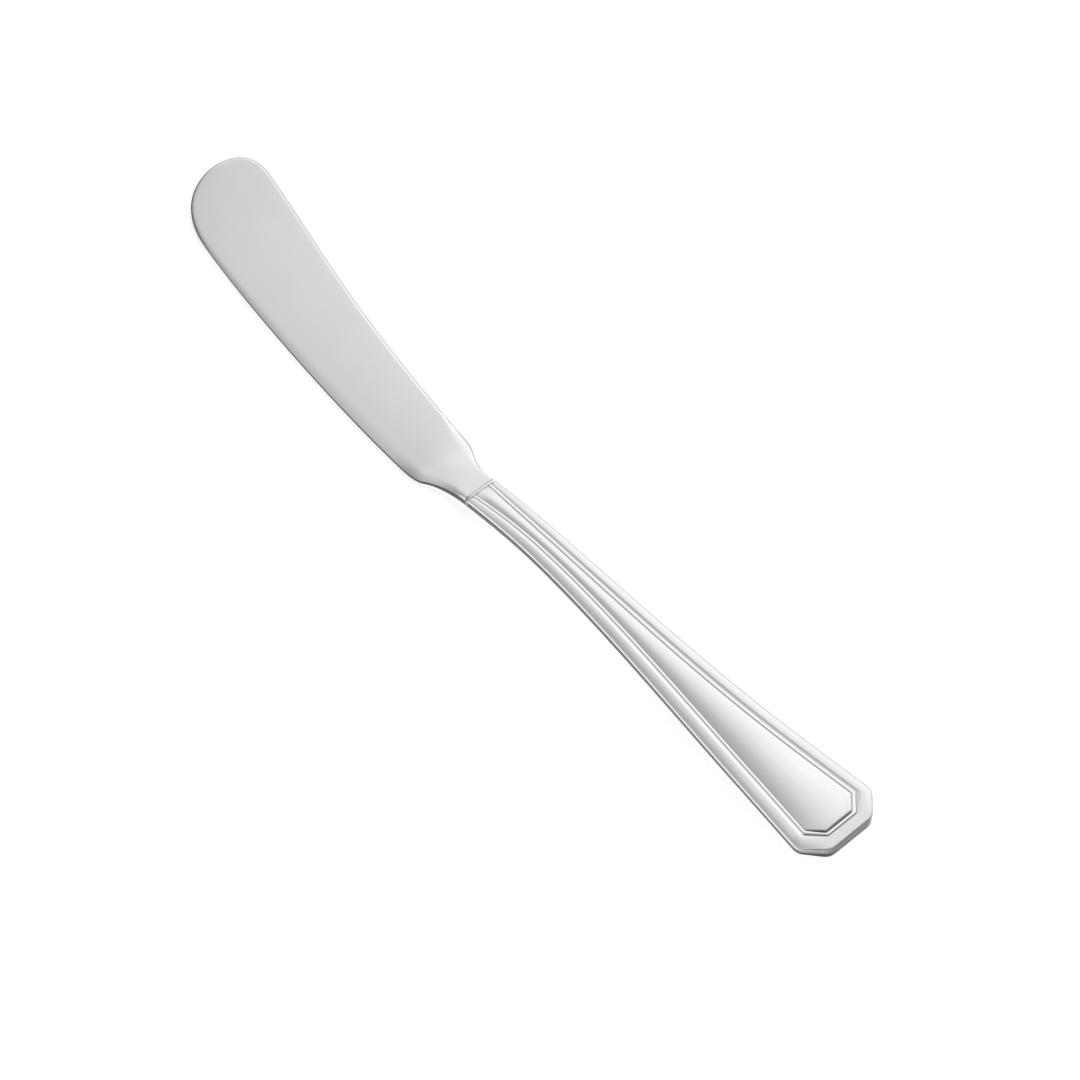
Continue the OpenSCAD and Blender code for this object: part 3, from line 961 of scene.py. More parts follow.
    def _spine(self, along_share: float, across_share: float) -> Flat:
        """Control point of the spine."""
        return (
            -mix(self.spine_dist, self.form.blade_len, along_share),
            mix(self.spine_h, self.tip_top_h, across_share),
        )

    def _shoulder(self, along_share: float, across_share: float) -> Flat:
        """Control point between the spine's shoulder and the slimmest place of the neck."""
        return (
            mix(-self.spine_dist, -self.neck_slim_dist, along_share),
            mix(self.spine_h, self.neck_slim_h, across_share),
        )

    def _stations(self) -> list[float]:
        """Places along the blade from the collar to just before the nose.

        Returns:
            The places, closer together towards the nose.
        """
        f = self.form
        heel = -(f.heel_dist + self.heel_round)
        tip_run = 2 * self.tip_top_dist
        tip = -f.blade_len + tip_run
        mouth = [-f.mouth_x, -self.mouth_line_from, -self.mouth_line_to]
        neck = [mix(mouth[-1], heel, i / self.neck_steps) for i in range(1, self.neck_steps)]
        belly = [mix(heel, tip, i / self.belly_steps) for i in range(self.belly_steps)]
        last = [
            -f.blade_len + tip_run * (1 - i / self.tip_steps) ** 2
            for i in range(self.tip_steps)
        ]
        return mouth + neck + belly + last

    def _outline(self) -> tuple[list[Flat], list[float]]:
        """The outline from the collar round the tip and back.

        Returns:
            Its points and the width of the bevel at each.
        """
        f = self.form
        stations = self._stations()
        low = [(x, along(self.low_edge, x)) for x in stations]
        high = [(x, along(self.high_edge, x)) for x in stations]
        nose = (-f.blade_len, self.tip_nose_h)
        points = [*low, nose, *reversed(high)]
        widths: list[float] = []
        for number, (x, _) in enumerate(points):
            if number < len(low):
                width = mix(self._edge_width(x), self.spine_bevel_w, self._tip_share(x))
            else:
                width = self._spine_width(x)
            widths.append(mix(width, self.neck_bevel_w, f.neck_share(x)))
        return points, widths

    def _face_half(self, x: float, share: float) -> float:
        """Half of the thickness a share of the way from the bevel to the blade's middle line."""
        fall = self.face_crown * (1 - self.form.neck_share(x)) * (1 - share) ** 2
        return self.form.mid_half(x) - fall

    @staticmethod
    def _inwards(points: Sequence[Flat]) -> list[Flat]:
        """Unit directions into the blade, square to its outline.

        Args:
            points: The outline.

        Returns:
            The direction at each point.
        """
        last = len(points) - 1
        normals: list[Flat] = []
        for i in range(len(points)):
            a, b = points[max(0, i - 1)], points[min(last, i + 1)]
            run = (b[0] - a[0], b[1] - a[1])
            size = math.hypot(*run)
            normals.append((run[1] / size, -run[0] / size))
        normals[0] = (0.0, 1.0)
        normals[last] = (0.0, -1.0)
        return normals

    def _cutting_tone(self, x: float, share: float) -> float:
        """Tone of the bevel along the cutting edge: a painted dark line on the edge, then painted
        shade.

        Args:
            x: Place along the blade.
            share: Share of the bevel's width, from the outline inwards.

        Returns:
            The tone.
        """
        tip = self._tip_share(x)
        line = smooth((-x - self.tip_line_from) / self.tip_line_run)
        if share == 0.0:
            return 1.0
        if share <= self.tip_line_share and line > 0.0:
            return mix(self.bevel_tone, self.tip_line_tone, line)
        heel = 1 - smooth(abs(x + self.form.heel_dist) / self.heel_tone_len)
        bevel = mix(self.bevel_tone, self.heel_bevel_tone, heel)
        bevel = mix(bevel, self.tip_bevel_tone, tip)
        bevel = mix(bevel, self.neck_bevel_tone, self.form.neck_share(x))
        return self._face_tone(x) + (1 - smooth(share)) * bevel

    def _spine_edge_tone(self, x: float, share: float) -> float:
        """Tone of the bevel along the spine: a painted grey line, then a painted highlight.

        Args:
            x: Place along the blade.
            share: Share of the bevel's width, from the outline inwards.

        Returns:
            The tone.
        """
        neck = self.form.neck_share(x)
        width = mix(self._spine_width(x), self.neck_bevel_w, neck)
        if share * width < mix(self.line_w, self.neck_line_w, neck):
            return mix(self.line_tone, self.neck_line_tone, neck)
        shine = smooth((share - self.spine_shine_from) / self.spine_shine_run)
        fade = 1 - mix(shine, smooth(share), self._shoulder_share(x))
        far = smooth((-x - self.spine_fade_from) / self.spine_fade_run)
        bright = mix(mix(self.spine_tone, self.tip_spine_tone, far), self.neck_spine_tone, neck)
        return mix(self._face_tone(x), bright, fade)

    def _edge_tone(self, x: float, share: float, facing: float) -> float:
        """Painted shade and highlight of the bevel.

        Args:
            x: Place along the blade.
            share: Share of the bevel's width, from the outline inwards.
            facing: Y of the direction into the blade: 1 on the cutting edge, -1 on the spine.

        Returns:
            The cutting edge's tone, the spine's, or round the nose one between them.
        """
        cut = smooth((facing - self.cut_from) / self.cut_run)
        return mix(self._spine_edge_tone(x, share), self._cutting_tone(x, share), cut)

    def _tip_share(self, x: float) -> float:
        """Share of the way along the tip's curve."""
        run = 2 * self.tip_top_dist
        return smooth((-x - self.form.blade_len + run) / run)

    def _spine_width(self, x: float) -> float:
        """Width of the bevel along the spine, which is wider round its shoulder."""
        return mix(self.spine_bevel_w, self.shoulder_bevel_w, self._shoulder_share(x))

    def _shoulder_share(self, x: float) -> float:
        """How near a place is to the spine's shoulder."""
        return 1 - smooth(abs(x + self.spine_dist) / self.shoulder_bevel_len)

    def _edge_width(self, x: float) -> float:
        """Width of the bevel along the cutting edge, which narrows towards the tip."""
        s = smooth((-x - self.edge_narrow_from) / self.edge_narrow_run)
        return mix(self.heel_edge_bevel_w, self.tip_edge_bevel_w, s)

    def _face_tone(self, x: float) -> float:
        """Face tone: painted shade at the tip, painted shadow by the collar, painted highlight on
        the glossier neck.

        Args:
            x: Place along the blade.

        Returns:
            The tone.
        """
        tip = smooth((-x - self.tip_fade_from) / (self.form.blade_len - self.tip_fade_from))
        neck = smooth((x + self.neck_tone_from) / self.neck_tone_run)
        run = self.mouth_line_to - self.mouth_line_from
        line = 1 - smooth((-x - self.mouth_line_from) / run)
        return mix(self.tip_tone * tip + self.neck_tone * neck, self.mouth_line_tone, line)

    def _edge_rail(self, share: float, side: int) -> Rail:
        """Rail along the bevel.

        Args:
            share: Share of the bevel's width, from the outline inwards.
            side: 1 on the face, -1 on the underside.

        Returns:
            The rail.
        """
        f = self.form
        rail: Rail = []
        for (x, y), (nx, ny), width in zip(self.points, self.inwards, self.widths):
            px = min(x + nx * width * share, -f.mouth_x)
            edge_half = mix(self.edge_thick, self.neck_edge_thick, f.neck_share(px)) / 2
            half = mix(edge_half, self._face_half(px, 0.0), arc_share(share))
            rail.append((px, y + ny * width * share, f.level(px) + side * half))
        return rail

    def _face_rail(self, share: float, side: int) -> Rail:
        """Rail on the face or the underside.

        Args:
            share: Share of the way from the bevel to the middle line.
            side: 1 on the face, -1 on the underside.

        Returns:
            The rail.
        """
        flat = [(x, y) for x, y, _ in self._edge_rail(1.0, side)]
        rail: Rail = []
        for spot, facing in zip(flat, reversed(flat)):
            x, y = mix_flat(spot, mix_flat(spot, facing, 0.5), share)
            rail.append((x, y, self.form.level(x) + side * self._face_half(x, share)))
        return rail

    def _rails(self) -> tuple[list[Rail], list[list[float]]]:
        """Rails from the underside's middle line over the edge to the face's middle line.

        Returns:
            The rails and the tones of their points, which carry painted shade and highlights.
        """
        rails: list[Rail] = []
        tones: list[list[float]] = []
        for side in (-1, 1):
            half = [self._face_rail(s, side) for s in self.face_shares]
            half_tones = [[self._face_tone(x) for x, _, _ in rail] for rail in half]
            for s in reversed(self.edge_shares):
                rail = self._edge_rail(s, side)
                facings = [facing for _, facing in self.inwards]
                half.append(rail)
                half_tones.append(
                    [self._edge_tone(x, s, facing) for (x, _, _), facing in zip(rail, facings)]
                )
            # The face's rails run from the edge to the middle line, against the underside's.
            rails += half[::-side]
            tones += half_tones[::-side]
        return rails, tones

    def _tang(self) -> bpy.types.Object:
        """Models the flat tang with its two keying holes.

        Returns:
            The tang.
        """
        f = self.form
        start, end = -f.mouth_x - self.tang_thick, f.mouth_x + self.tang_len
        w, t = self.tang_w / 2, self.tang_thick / 2
        section = ((-w, -t), (w, -t), (w, t), (-w, t))
        stations = [mix(start, end, s) for s in even(self.tang_steps)]
        rails = [[(x, y, f.level(x) + z) for y, z in section] for x in stations]
        tang = RailBody("tang", self.row.place, rails, closed=True).build()
        for share in self.key_shares:
            x = f.mouth_x + self.tang_len * share
            leave_all()
            bpy.ops.mesh.primitive_cylinder_add(
                vertices=self.key_points,
                radius=self.key_r * self.row.unit,
                depth=self.key_cut_len * self.row.unit,
                location=self.row.place((x, 0.0, f.level(x))),
            )
            hole = bpy.context.object
            take(tang)
            cut = tang.modifiers.new("key_hole", "BOOLEAN")
            cut.operation = "DIFFERENCE"
            cut.object = hole
            bpy.ops.object.modifier_apply(modifier=cut.name)
            bpy.data.objects.remove(hole)
        return tang

    def build(self) -> bpy.types.Object:
        """Models the blade.

        Returns:
            The finished piece.
        """
        rails, tones = self._rails()
        piece = RailBody("blade_forged", self.row.place, rails, tones=tones).build()
        tang = self._tang()
        take(piece)
        tang.select_set(True)
        bpy.ops.object.join()
        soften(piece, self.sharp_from)
        return piece

    def dress(self, piece: bpy.types.Object) -> None:
        """Gives the blade its finish and its place in the frame.

        Args:
            piece: The blade.
        """
        piece.data.materials.append(SATIN_STEEL.make())
        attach(piece, "root")
        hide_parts("blade")


@dataclass
class NeckCollar:
    """The beaded ferrule across the handle's mouth."""

    form: KnifeForm
    row: RowFrame
    proud: float = 0.05
    height: float = 2.6
    slot_w: float = 3.26
    slot_h: float = 1.06
    power: float = 4.5
    # Tones, all painted shade: on the front and back slopes beside the blade and the shells, and
    # on the sides; shine_share is the middle band left bare.
    shine_share: float = 0.12
    side_from: float = 0.8
    side_run: float = 0.12
    side_tone: float = 0.55
    front_tone: float = 0.8
    back_tone: float = 0.45
    points: int = 96
    steps: int = 12
    sharp_from: float = 50.0

    def _ring(self, x: float, half_w: float, half_h: float) -> Rail:
        """Rounded rectangle about the neck's middle.

        Args:
            x: Place along the knife.
            half_w: Half of its width.
            half_h: Half of its height.

        Returns:
            The rail.
        """
        rail: Rail = []
        for i in range(self.points):
            turn = 2 * math.pi * i / self.points
            c, s = math.cos(turn), math.sin(turn)
            y = math.copysign(half_w * abs(c) ** (2 / self.power), c)
            z = math.copysign(half_h * abs(s) ** (2 / self.power), s)
            rail.append((x, y, self.form.neck_level + z))
        return rail

    def _tones(self, inner_count: int) -> list[list[float]]:
        """Tones of the rails: painted shade against the blade, against the shells and on the
        sides.

        Args:
            inner_count: Number of rails inside the slot.

        Returns:
            The tones of every rail's points.
        """
        # Painted shade inside the slot.
        inner = [[1.0] * self.points] * inner_count
        outer: list[list[float]] = []
        for s in even(self.steps):
            # Painted shade that grows over the front and back slopes, from the bare middle band
            # outwards.
            seam = smooth((abs(s - 0.5) - self.shine_share) / (0.5 - self.shine_share))
            seam *= self.front_tone if s < 0.5 else self.back_tone
            row: list[float] = []
            for i in range(self.points):
                side = abs(math.cos(2 * math.pi * i / self.points))
                dark = self.side_tone * smooth((side - self.side_from) / self.side_run)
                row.append(max(seam, dark))
            outer.append(row)
        return inner + outer

    def build(self) -> bpy.types.Object:
        """Models the collar as a ring with a slot for the tang.

        Returns:
            The finished piece.
        """
        f = self.form
        rails = [self._ring(x, self.slot_w / 2, self.slot_h / 2) for x in (f.mouth_x, -f.mouth_x)]
        tones = self._tones(len(rails))
        base_h = self.height / 2 - self.proud
        for s in even(self.steps):
            turn = math.pi * s
            x = -f.mouth_x * math.cos(turn)
            grow = self.proud * math.sin(turn)
            rails.append(self._ring(x, f.neck_half_w + grow, base_h + grow))
        body = RailBody("collar_bead", self.row.place, rails, closed=True, ring=True, tones=tones)
        piece = body.build()
        soften(piece, self.sharp_from)
        return piece

    def dress(self, piece: bpy.types.Object) -> None:
        """Gives the collar its finish and its place in the frame.

        Args:
            piece: The collar.
        """
        piece.data.materials.append(POLISHED_STEEL.make())
        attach(piece, "root")
        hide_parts("neck_collar")


@dataclass
class HandleOutline:
    """Outlines of the handle's rim and of its bead, each with the same number of points."""

    form: KnifeForm
    butt_end_half: float = 4.56
    bead_end_half: float = 2.95
    butt_round: float = 1.1
    inner_round_share: float = 0.3
    cut_angle: float = 45.0
    side_steps: int = 120
    side_power: float = 1.25
    round_steps: int = 8
    cut_steps: int = 4
    end_steps: int = 6

    def __post_init__(self) -> None:
        """Works out how far an outline's corners move when it grows."""
        self.corner_turn = math.tan(math.radians(self.cut_angle / 2))
        self.side_count = self.side_steps + 1

    def _half(
        self, side: Callable[[float], float], corner: float, end: float, end_half: float, r: float
    ) -> list[Flat]:
        """The lower half of an outline, from the mouth to the middle of the butt's end.

        Args:
            side: Half width at a place along the handle.
            corner: Where the side ends.
            end: Where the flat end is.
            end_half: Half of the flat end's width.
            r: Length that each corner's rounding takes.

        Returns:
            The points in order.
        """
        mouth = self.form.mouth_x
        a, b = (corner, -side(corner)), (end, -end_half)
        size = math.dist(a, b)
        step = ((b[0] - a[0]) / size, (b[1] - a[1]) / size)
        a0, a1 = (corner - r, -side(corner - r)), (a[0] + r * step[0], a[1] + r * step[1])
        b0, b1 = (b[0] - r * step[0], b[1] - r * step[1]), (end, r - end_half)
        xs = [mix(mouth, corner - r, s**self.side_power) for s in even(self.side_steps)]
        points = [(x, -side(x)) for x in xs]
        points += [bend(a0, a, a1, s) for s in even(self.round_steps, 1)]
        points += [mix_flat(a1, b0, s) for s in even(self.cut_steps, 1)[:-1]]
        points += [bend(b0, b, b1, s) for s in even(self.round_steps)]
        points += [(end, b1[1] * (1 - i / self.end_steps)) for i in range(1, self.end_steps)]
        return points

    @staticmethod
    def _both(half: list[Flat]) -> list[Flat]:
        """A half outline and its mirror image, as one row of points."""
        return half + [(x, -y) for x, y in reversed(half)]

    def zone(self, j: int) -> tuple[float, float]:
        """Where a point lies round the butt.

        Args:
            j: Number of the point.

        Returns:
            How much it belongs to a cut corner, and how much to the flat end.
        """
        half = self.side_count + 2 * self.round_steps + self.cut_steps - 1 + self.end_steps
        past = min(j, 2 * half - 1 - j) - (self.side_count - 1)
        corner = clamp01(past / self.round_steps)
        end = clamp01((past - self.round_steps - self.cut_steps) / self.round_steps)
        return corner - end, end

    def rim(self, grow: float) -> list[Flat]:
        """The rim's outline.

        Args:
            grow: Distance by which it is grown.

        Returns:
            The points in order.
        """
        f = self.form
        turn = grow * self.corner_turn
        half = self._half(
            lambda x: f.side_half(x) + grow,
            f.corner_x + turn,
            f.handle_len + grow,
            self.butt_end_half + turn,
            self.butt_round + grow * self.inner_round_share,
        )
        return self._both(half)

    def bead(self, grow: float) -> list[Flat]:
        """The bead's middle line.

        Args:
            grow: Distance by which it is grown.

        Returns:
            The points in order.
        """
        f = self.form
        turn = grow * self.corner_turn
        half = self._half(
            lambda x: f.bead_half(x) + grow,
            f.bead_corner_x + turn,
            f.bead_end_x + grow,
            self.bead_end_half + turn,
            self.butt_round * self.inner_round_share,
        )
        return self._both(half)


@dataclass
class HandleShell:
    """One pressed shell of the handle, with its rim, border, bead and panel."""

    form: KnifeForm
    row: RowFrame
    outline: HandleOutline
    face: Face
    rim_r: float = 0.2
    rim_h: float = 0.42
    rim_end_h: float = 0.12
    rim_w: float = 0.28
    rim_dip: float = 0.02
    border_end_h: float = 0.24
    bead_rise: float = 0.16
    rim_power: float = 1.48
    # Tones below are painted light: above 0 painted shade on the wall, the rim's turn, the lines
    # at the grooves and round the butt, and inside; below 0 painted highlights on rim, bead,
    # border and panel.
    rim_dark_share: float = 0.46
    rim_bright_share: float = 0.66
    rim_tone: float = -0.3
    bead_tone: float = -0.8
    foot_tone: float = 0.3
    groove_tone: float = 0.03
    near_channel_tone: float = -0.8
    far_groove_tone: float = -0.7
    far_groove_to: float = 0.1
    near_border_tone: float = -1.0
    near_border_share: float = 0.5
    near_border_from: float = 60.0
    near_border_run: float = 14.0
    near_border_start: float = 12.0
    near_border_middle: float = 0.32
    near_border_half: float = 0.45
    end_line_shares: Shares = (0.9, 0.95, 1.0)
    end_line_tones: Triple = (0.4, 0.8, 1.0)
    far_line_share: float = 0.4
    bead_line_to: float = 0.1
    panel_line_tones: Triple = (0.7, 0.65, 0.15)
    panel_line_run: float = 0.04
    start_channel_tone: float = 0.5
    start_channel_from: float = 0.8
    start_channel_run: float = 0.1
    panel_start_tone: float = -0.45
    panel_start_from: float = 30.0
    panel_start_run: float = 20.0
    panel_middle_from: float = 0.4
    panel_middle_run: float = 0.4
    panel_end_tone: float = -0.35
    panel_end_from: float = 64.0
    panel_end_run: float = 10.0
    panel_end_across: float = 0.45
    inside_tone: float = 0.6
    corner_tones: Flat = (0.75, 0.25)
    end_tones: Flat = (1.0, 0.6)
    end_fall_share: float = 0.85
    crest_share: float = 0.68
    channel_share: float = 0.9
    wall_shares: Shares = (0.0, 0.5)
    rim_steps: int = 8
    bead_steps: int = 12
    border_shares: Shares = (
        *(0.04, 0.1, 0.18, 0.27, 0.36, 0.45, 0.54, 0.62),
        *(0.68, 0.72, 0.76, 0.8, 0.85, 0.9, 0.95, 1.0),
    )
    panel_shares: Shares = (
        *(0.0, 0.02, 0.06, 0.12, 0.2, 0.29, 0.38),
        *(0.47, 0.56, 0.65, 0.74, 0.83, 0.92, 1.0),
    )
    inside_rim_share: float = 0.75
    inside_panel_shares: Shares = (0.3, 0.65, 1.0)
    sharp_from: float = 35.0

    def __post_init__(self) -> None:
        """Draws the outlines that the border runs between."""
        f = self.form
        self.foot = self.outline.rim(-self.rim_w)
        self.inside = self.outline.bead(f.groove_dist)
        self.panel = self.outline.bead(-f.panel_edge)
        self.count = len(self.foot)

    def _middle(self, j: int) -> Flat:
        """Point of the middle line that the panel's point j meets."""
        k = min(j, self.count - 1 - j, self.outline.side_count - 1)
        return (self.panel[k][0], 0.0)

    def _height(self, x: float, h: float) -> float:
        """Height over the table of a point that lies h over the rim."""
        return self.form.level(x) + self.face.value * (self.form.wall_h(x) / 2 + h)

    def _end_share(self, j: int) -> float:
        """Share of the way round the butt's end, where the border levels out.

        Args:
            j: Number of the point.

        Returns:
            The share.
        """
        f = self.form
        x = self.foot[j][0]
        return smooth((x - f.corner_x) / (f.handle_len - self.rim_w - f.corner_x))

    def _at_height(self, outline: Sequence[Flat], h: float) -> Rail:
        """Rail at a height over the handle's middle level."""
        f = self.form
        return [(x, y, f.level(x) + self.face.value * h) for x, y in outline]

    def _over_groove(self, outline: Sequence[Flat], rise: float) -> Rail:
        """Rail at a height over the groove's floor."""
        return [(x, y, self._height(x, self.form.groove_at(x) + rise)) for x, y in outline]

    def _end_height(self, j: int, h: float, drop: float) -> float:
        """Height over the rim that turns to drop under the border's height round the butt."""
        return mix(h, self.border_end_h - drop, self._end_share(j))

    def _over_rim(self, outline: Sequence[Flat], h: float, drop: float) -> Rail:
        """Rail at a height over the rim that lies drop under the border round the butt's end."""
        return [
            (x, y, self._height(x, self._end_height(j, h, drop)))
            for j, (x, y) in enumerate(outline)
        ]

    def _over_border(self, s: float, let_in: float, drop: float) -> Rail:
        """Rail of the border.

        Args:
            s: Share of the border's width, from the outside.
            let_in: How far the rail lies under the surface.
            drop: How far the surface lies under the border round the butt's end.

        Returns:
            The rail.
        """
        rail: Rail = []
        for j, (x, y) in enumerate(self._border_line(s)):
            h = self._border_at(s) * self.form.relief(x) - let_in
            rail.append((x, y, self._height(x, self._end_height(j, h, drop + let_in))))
        return rail

    def _over_panel(self, share: float, drop: float) -> Rail:
        """Rail of the panel.

        Args:
            share: Share of the way from its edge to the middle line.
            drop: How far the rail lies under the surface.

        Returns:
            The rail.
        """
        rail: Rail = []
        for j, point in enumerate(self.panel):
            x, y = mix_flat(point, self._middle(j), share)
            rail.append((x, y, self._height(x, self.form.panel_h(x, y, self.face) - drop)))
        return rail

    def _border_at(self, s: float) -> float:
        """Height of the border over the rim.

        Args:
            s: Share of the border's width, from the outside.

        Returns:
            The height.
        """
        f = self.form
        if s <= self.crest_share:
            return mix(-self.rim_dip, f.border_h, arc_share(s / self.crest_share))
        run = self.channel_share - self.crest_share
        return mix(f.border_h, f.groove_h, smooth((s - self.crest_share) / run))

    def _border_line(self, s: float) -> list[Flat]:
        """Outline a share of the way from the border's foot to its groove."""
        return [mix_flat(a, b, s) for a, b in zip(self.foot, self.inside)]

    def _toned(
        self, rail: Rail, side: float, butt: Triple, start: float = 0.0, more: Sequence[float] = ()
    ) -> TonedRail:
        """Gives a rail of the outside its tones of painted shade and highlight.

        Args:
            rail: The rail.
            side: Tone along the sides.
            butt: Tones of the near cut corner, of the flat end and of the far cut corner.
            start: Tone added on the far side, as far as the border is low there.
            more: Tones added point by point.

        Returns:
            The rail and the tones of its points.
        """
        near, end, far = butt
        tones: list[float] = []
        for j, (x, y, _) in enumerate(rail):
            c, e = self.outline.zone(j)
            along_side = side + (start * (1 - self.form.relief(x)) if y > 0 else 0.0)
            tones.append(along_side * (1 - c - e) + (far if y > 0 else near) * c + end * e)
        if more:
            tones = [tone + added for tone, added in zip(tones, more)]
        return rail, tones

    def _wall(self) -> list[TonedRail]:
        """Rails of the side wall, with painted shade over all of it.

        Returns:
            The rails from the seam up to where the rim starts to turn.
        """
        low = self._at_height(self.outline.rim(0.0), self.form.seam / 2)
        high = self._over_rim(self.outline.rim(0.0), -self.rim_h, self.rim_end_h)
        rails: list[TonedRail] = []
        for share in self.wall_shares:
            rail = [(a[0], a[1], mix(a[2], b[2], share)) for a, b in zip(low, high)]
            # Tone 1: painted shade standing for the shaded table that the wall reflects.
            rails.append(self._toned(rail, 1.0, self._butt_tones(share / 2)))
        return rails

    def _rim(self) -> list[TonedRail]:
        """Rails of the rim.

        Returns:
            The rails of its turn, and the one along the border's foot.
        """
        rails: list[TonedRail] = []
        for s in even(self.rim_steps):
            turn = s * math.pi / 2
            back = self.rim_r * (1 - math.cos(turn) ** self.rim_power)
            fall = 1 - math.sin(turn) ** self.rim_power
            line = self.outline.rim(-back)
            rail = self._over_rim(line, -self.rim_h * fall, self.rim_end_h * fall)
            rails.append(self._toned(rail, self._rim_tone(s), self._butt_tones((1 + s) / 2)))
        foot = self._over_rim(self.foot, -self.rim_dip, self.rim_dip)
        # The border's foot carries a painted dark line.
        rails.append(self._toned(foot, self.foot_tone, (0.0, 0.0, 0.0)))
        return rails

    def _border(self) -> list[TonedRail]:
        """Rails of the border.

        Returns:
            The rails from its foot over its crest and through the channel to the groove.
        """
        rails: list[TonedRail] = []
        # Painted dark lines round the butt's end, painted shade in the far channel by the collar,
        # and the near side's painted highlights.
        lines = dict(zip(self.end_line_shares, self.end_line_tones))
        for s in self.border_shares:
            fall = smooth((s - self.end_fall_share) / (1 - self.end_fall_share))
            rail = self._over_border(s, 0.0, (self.border_end_h - self.form.groove_h) * fall)
            line = lines.get(s, 0.0)
            start = clamp01((s - self.start_channel_from) / self.start_channel_run)
            start *= self.start_channel_tone
            more = [self._near_tone(x, y, s) for x, y, _ in rail]
            butt = (line, line, line * self.far_line_share)
            rails.append(self._toned(rail, 0.0, butt, start, more))
        return rails

    def _bead(self) -> list[TonedRail]:
        """Rails of the round bead.

        Returns:
            The rails between its two feet.
        """
        line = self.end_line_tones[0]
        rails: list[TonedRail] = []
        for s in even(self.bead_steps, 1)[:-1]:
            turn = math.pi * s
            middle = self.outline.bead(self.form.groove_dist * math.cos(turn))
            rail = self._over_groove(middle, self.bead_rise * math.sin(turn))
            # Painted highlight along the bead's crest; painted dark lines at its outer foot round
            # the butt.
            tone = self.bead_tone * math.sin(turn)
            butt = (tone, tone, tone)
            if s < self.bead_line_to:
                butt = (line, line, line * self.far_line_share)
            rails.append(self._toned(rail, tone, butt))
        return rails

    def _middle_panel(self) -> list[TonedRail]:
        """Rails of the panel.

        Returns:
            The rails from the bead's inner foot to the middle line.
        """
        groove = self._over_groove(self.outline.bead(-self.form.groove_dist), 0.0)
        # Painted shade in the groove and painted dark lines round the panel's end; a painted
        # highlight lightens the far groove.
        lighter = [self._far_tone(x, y) for x, y, _ in groove]
        rails = [self._toned(groove, self.groove_tone, self.panel_line_tones, more=lighter)]
        for s in self.panel_shares:
            side = self.groove_tone / 2 if s == 0.0 else 0.0
            line = max(0.0, 1 - s / self.panel_line_run)
            near, end, far = (tone * line for tone in self.panel_line_tones)
            rail = self._over_panel(s, 0.0)
            more = [self._panel_tone(x, y, s) for x, y, _ in rail]
            rails.append(self._toned(rail, side, (near, end, far), more=more))
        return rails

    def _far_tone(self, x: float, y: float) -> float:
        """Painted highlight that lightens the front's groove on the far side."""
        side = y > 0 and self.face is Face.FRONT and x < self.form.bead_corner_x
        return self.far_groove_tone if side else 0.0

    def _near_tone(self, x: float, y: float, s: float) -> float:
        """Painted highlight of the border on the near side: in its channel and towards the butt.

        Args:
            x: Place along the knife.
            y: Distance from the middle line, less than 0 on the near side.
            s: Share of the border's width, from the outside.

        Returns:
            The tone to add.
        """
        f = self.form
        if y > 0 or self.face is Face.BACK or x > f.bead_corner_x:
            return 0.0
        if s > self.crest_share:
            return self.near_channel_tone * smooth((s - self.crest_share) / (1 - self.crest_share))
        run = self.near_border_run
        butt = mix(self.near_border_share, 1, smooth((x - self.near_border_from) / run))
        butt *= smooth((x - self.near_border_start) / run)
        fade = 1 - smooth(abs(s - self.near_border_middle) / self.near_border_half)
        return self.near_border_tone * butt * fade

    def _panel_tone(self, x: float, y: float, s: float) -> float:
        """Painted highlight on the front's panel, along its middle and at its end.

        Args:
            x: Place along the knife.
            y: Distance from the middle line.
            s: Share of the way from the panel's edge to the middle line.

        Returns:
            The tone to add.
        """
        if self.face is Face.BACK:
            return 0.0
        across = smooth((s - self.panel_middle_from) / self.panel_middle_run)
        start = across * (1 - smooth((x - self.panel_start_from) / self.panel_start_run))
        end = smooth((x - self.panel_end_from) / self.panel_end_run)
        end *= smooth(s / self.panel_end_across)
        groove = self._far_tone(x, y) if s < self.far_groove_to else 0.0
        return self.panel_start_tone * start + self.panel_end_tone * end + groove

    def _rim_tone(self, s: float) -> float:
        """Tone of the rim: painted shade, then a painted highlight, then the painted dark line at
        its foot.

        Args:
            s: Share of the rim's turn.

        Returns:
            The tone.
        """
        if s < self.rim_dark_share:
            return mix(1.0, self.rim_tone, smooth(s / self.rim_dark_share))
        rise = smooth((s - self.rim_bright_share) / (1 - self.rim_bright_share))
        return mix(self.rim_tone, self.foot_tone, rise)

    def _butt_tones(self, s: float) -> Triple:
        """Painted shade of the wall and the rim round the butt.

        Args:
            s: Share of the way up the wall and round the rim.

        Returns:
            The tones of the near cut corner, of the end and of the far cut corner.
        """
        if self.face is Face.BACK:
            return (1.0, 1.0, 1.0)
        corner = mix(*self.corner_tones, s)
        return (corner, mix(*self.end_tones, s), corner)

    def _inside(self) -> list[Rail]:
        """Rails of the shell's inside.

        Returns:
            The rails from the seam to the middle line.
        """
        f = self.form
        sheet = f.sheet
        rim_inside = self.outline.rim(self.rim_dip - 2 * sheet)
        return [
            self._at_height(self.outline.rim(-sheet), f.seam / 2),
            self._over_rim(self.outline.rim(-sheet), -sheet, sheet),
            self._over_rim(rim_inside, -self.inside_rim_share * sheet, sheet),
            self._over_border(self.crest_share, sheet, 0.0),
            self._over_groove(self.outline.bead(f.groove_dist), -sheet),
            self._over_groove(self.outline.bead(-f.groove_dist), -sheet),
            *(self._over_panel(share, sheet) for share in self.inside_panel_shares),
        ]

    def build(self) -> bpy.types.Object:
        """Models the shell.

        Returns:
            The finished piece.
        """
        outside = [
            *self._wall(), *self._rim(), *self._border(), *self._bead(), *self._middle_panel()
        ]
        rails = [rail for rail, _ in reversed(outside)]
        tones = [row for _, row in reversed(outside)]
        inside = self._inside()
        rails += inside
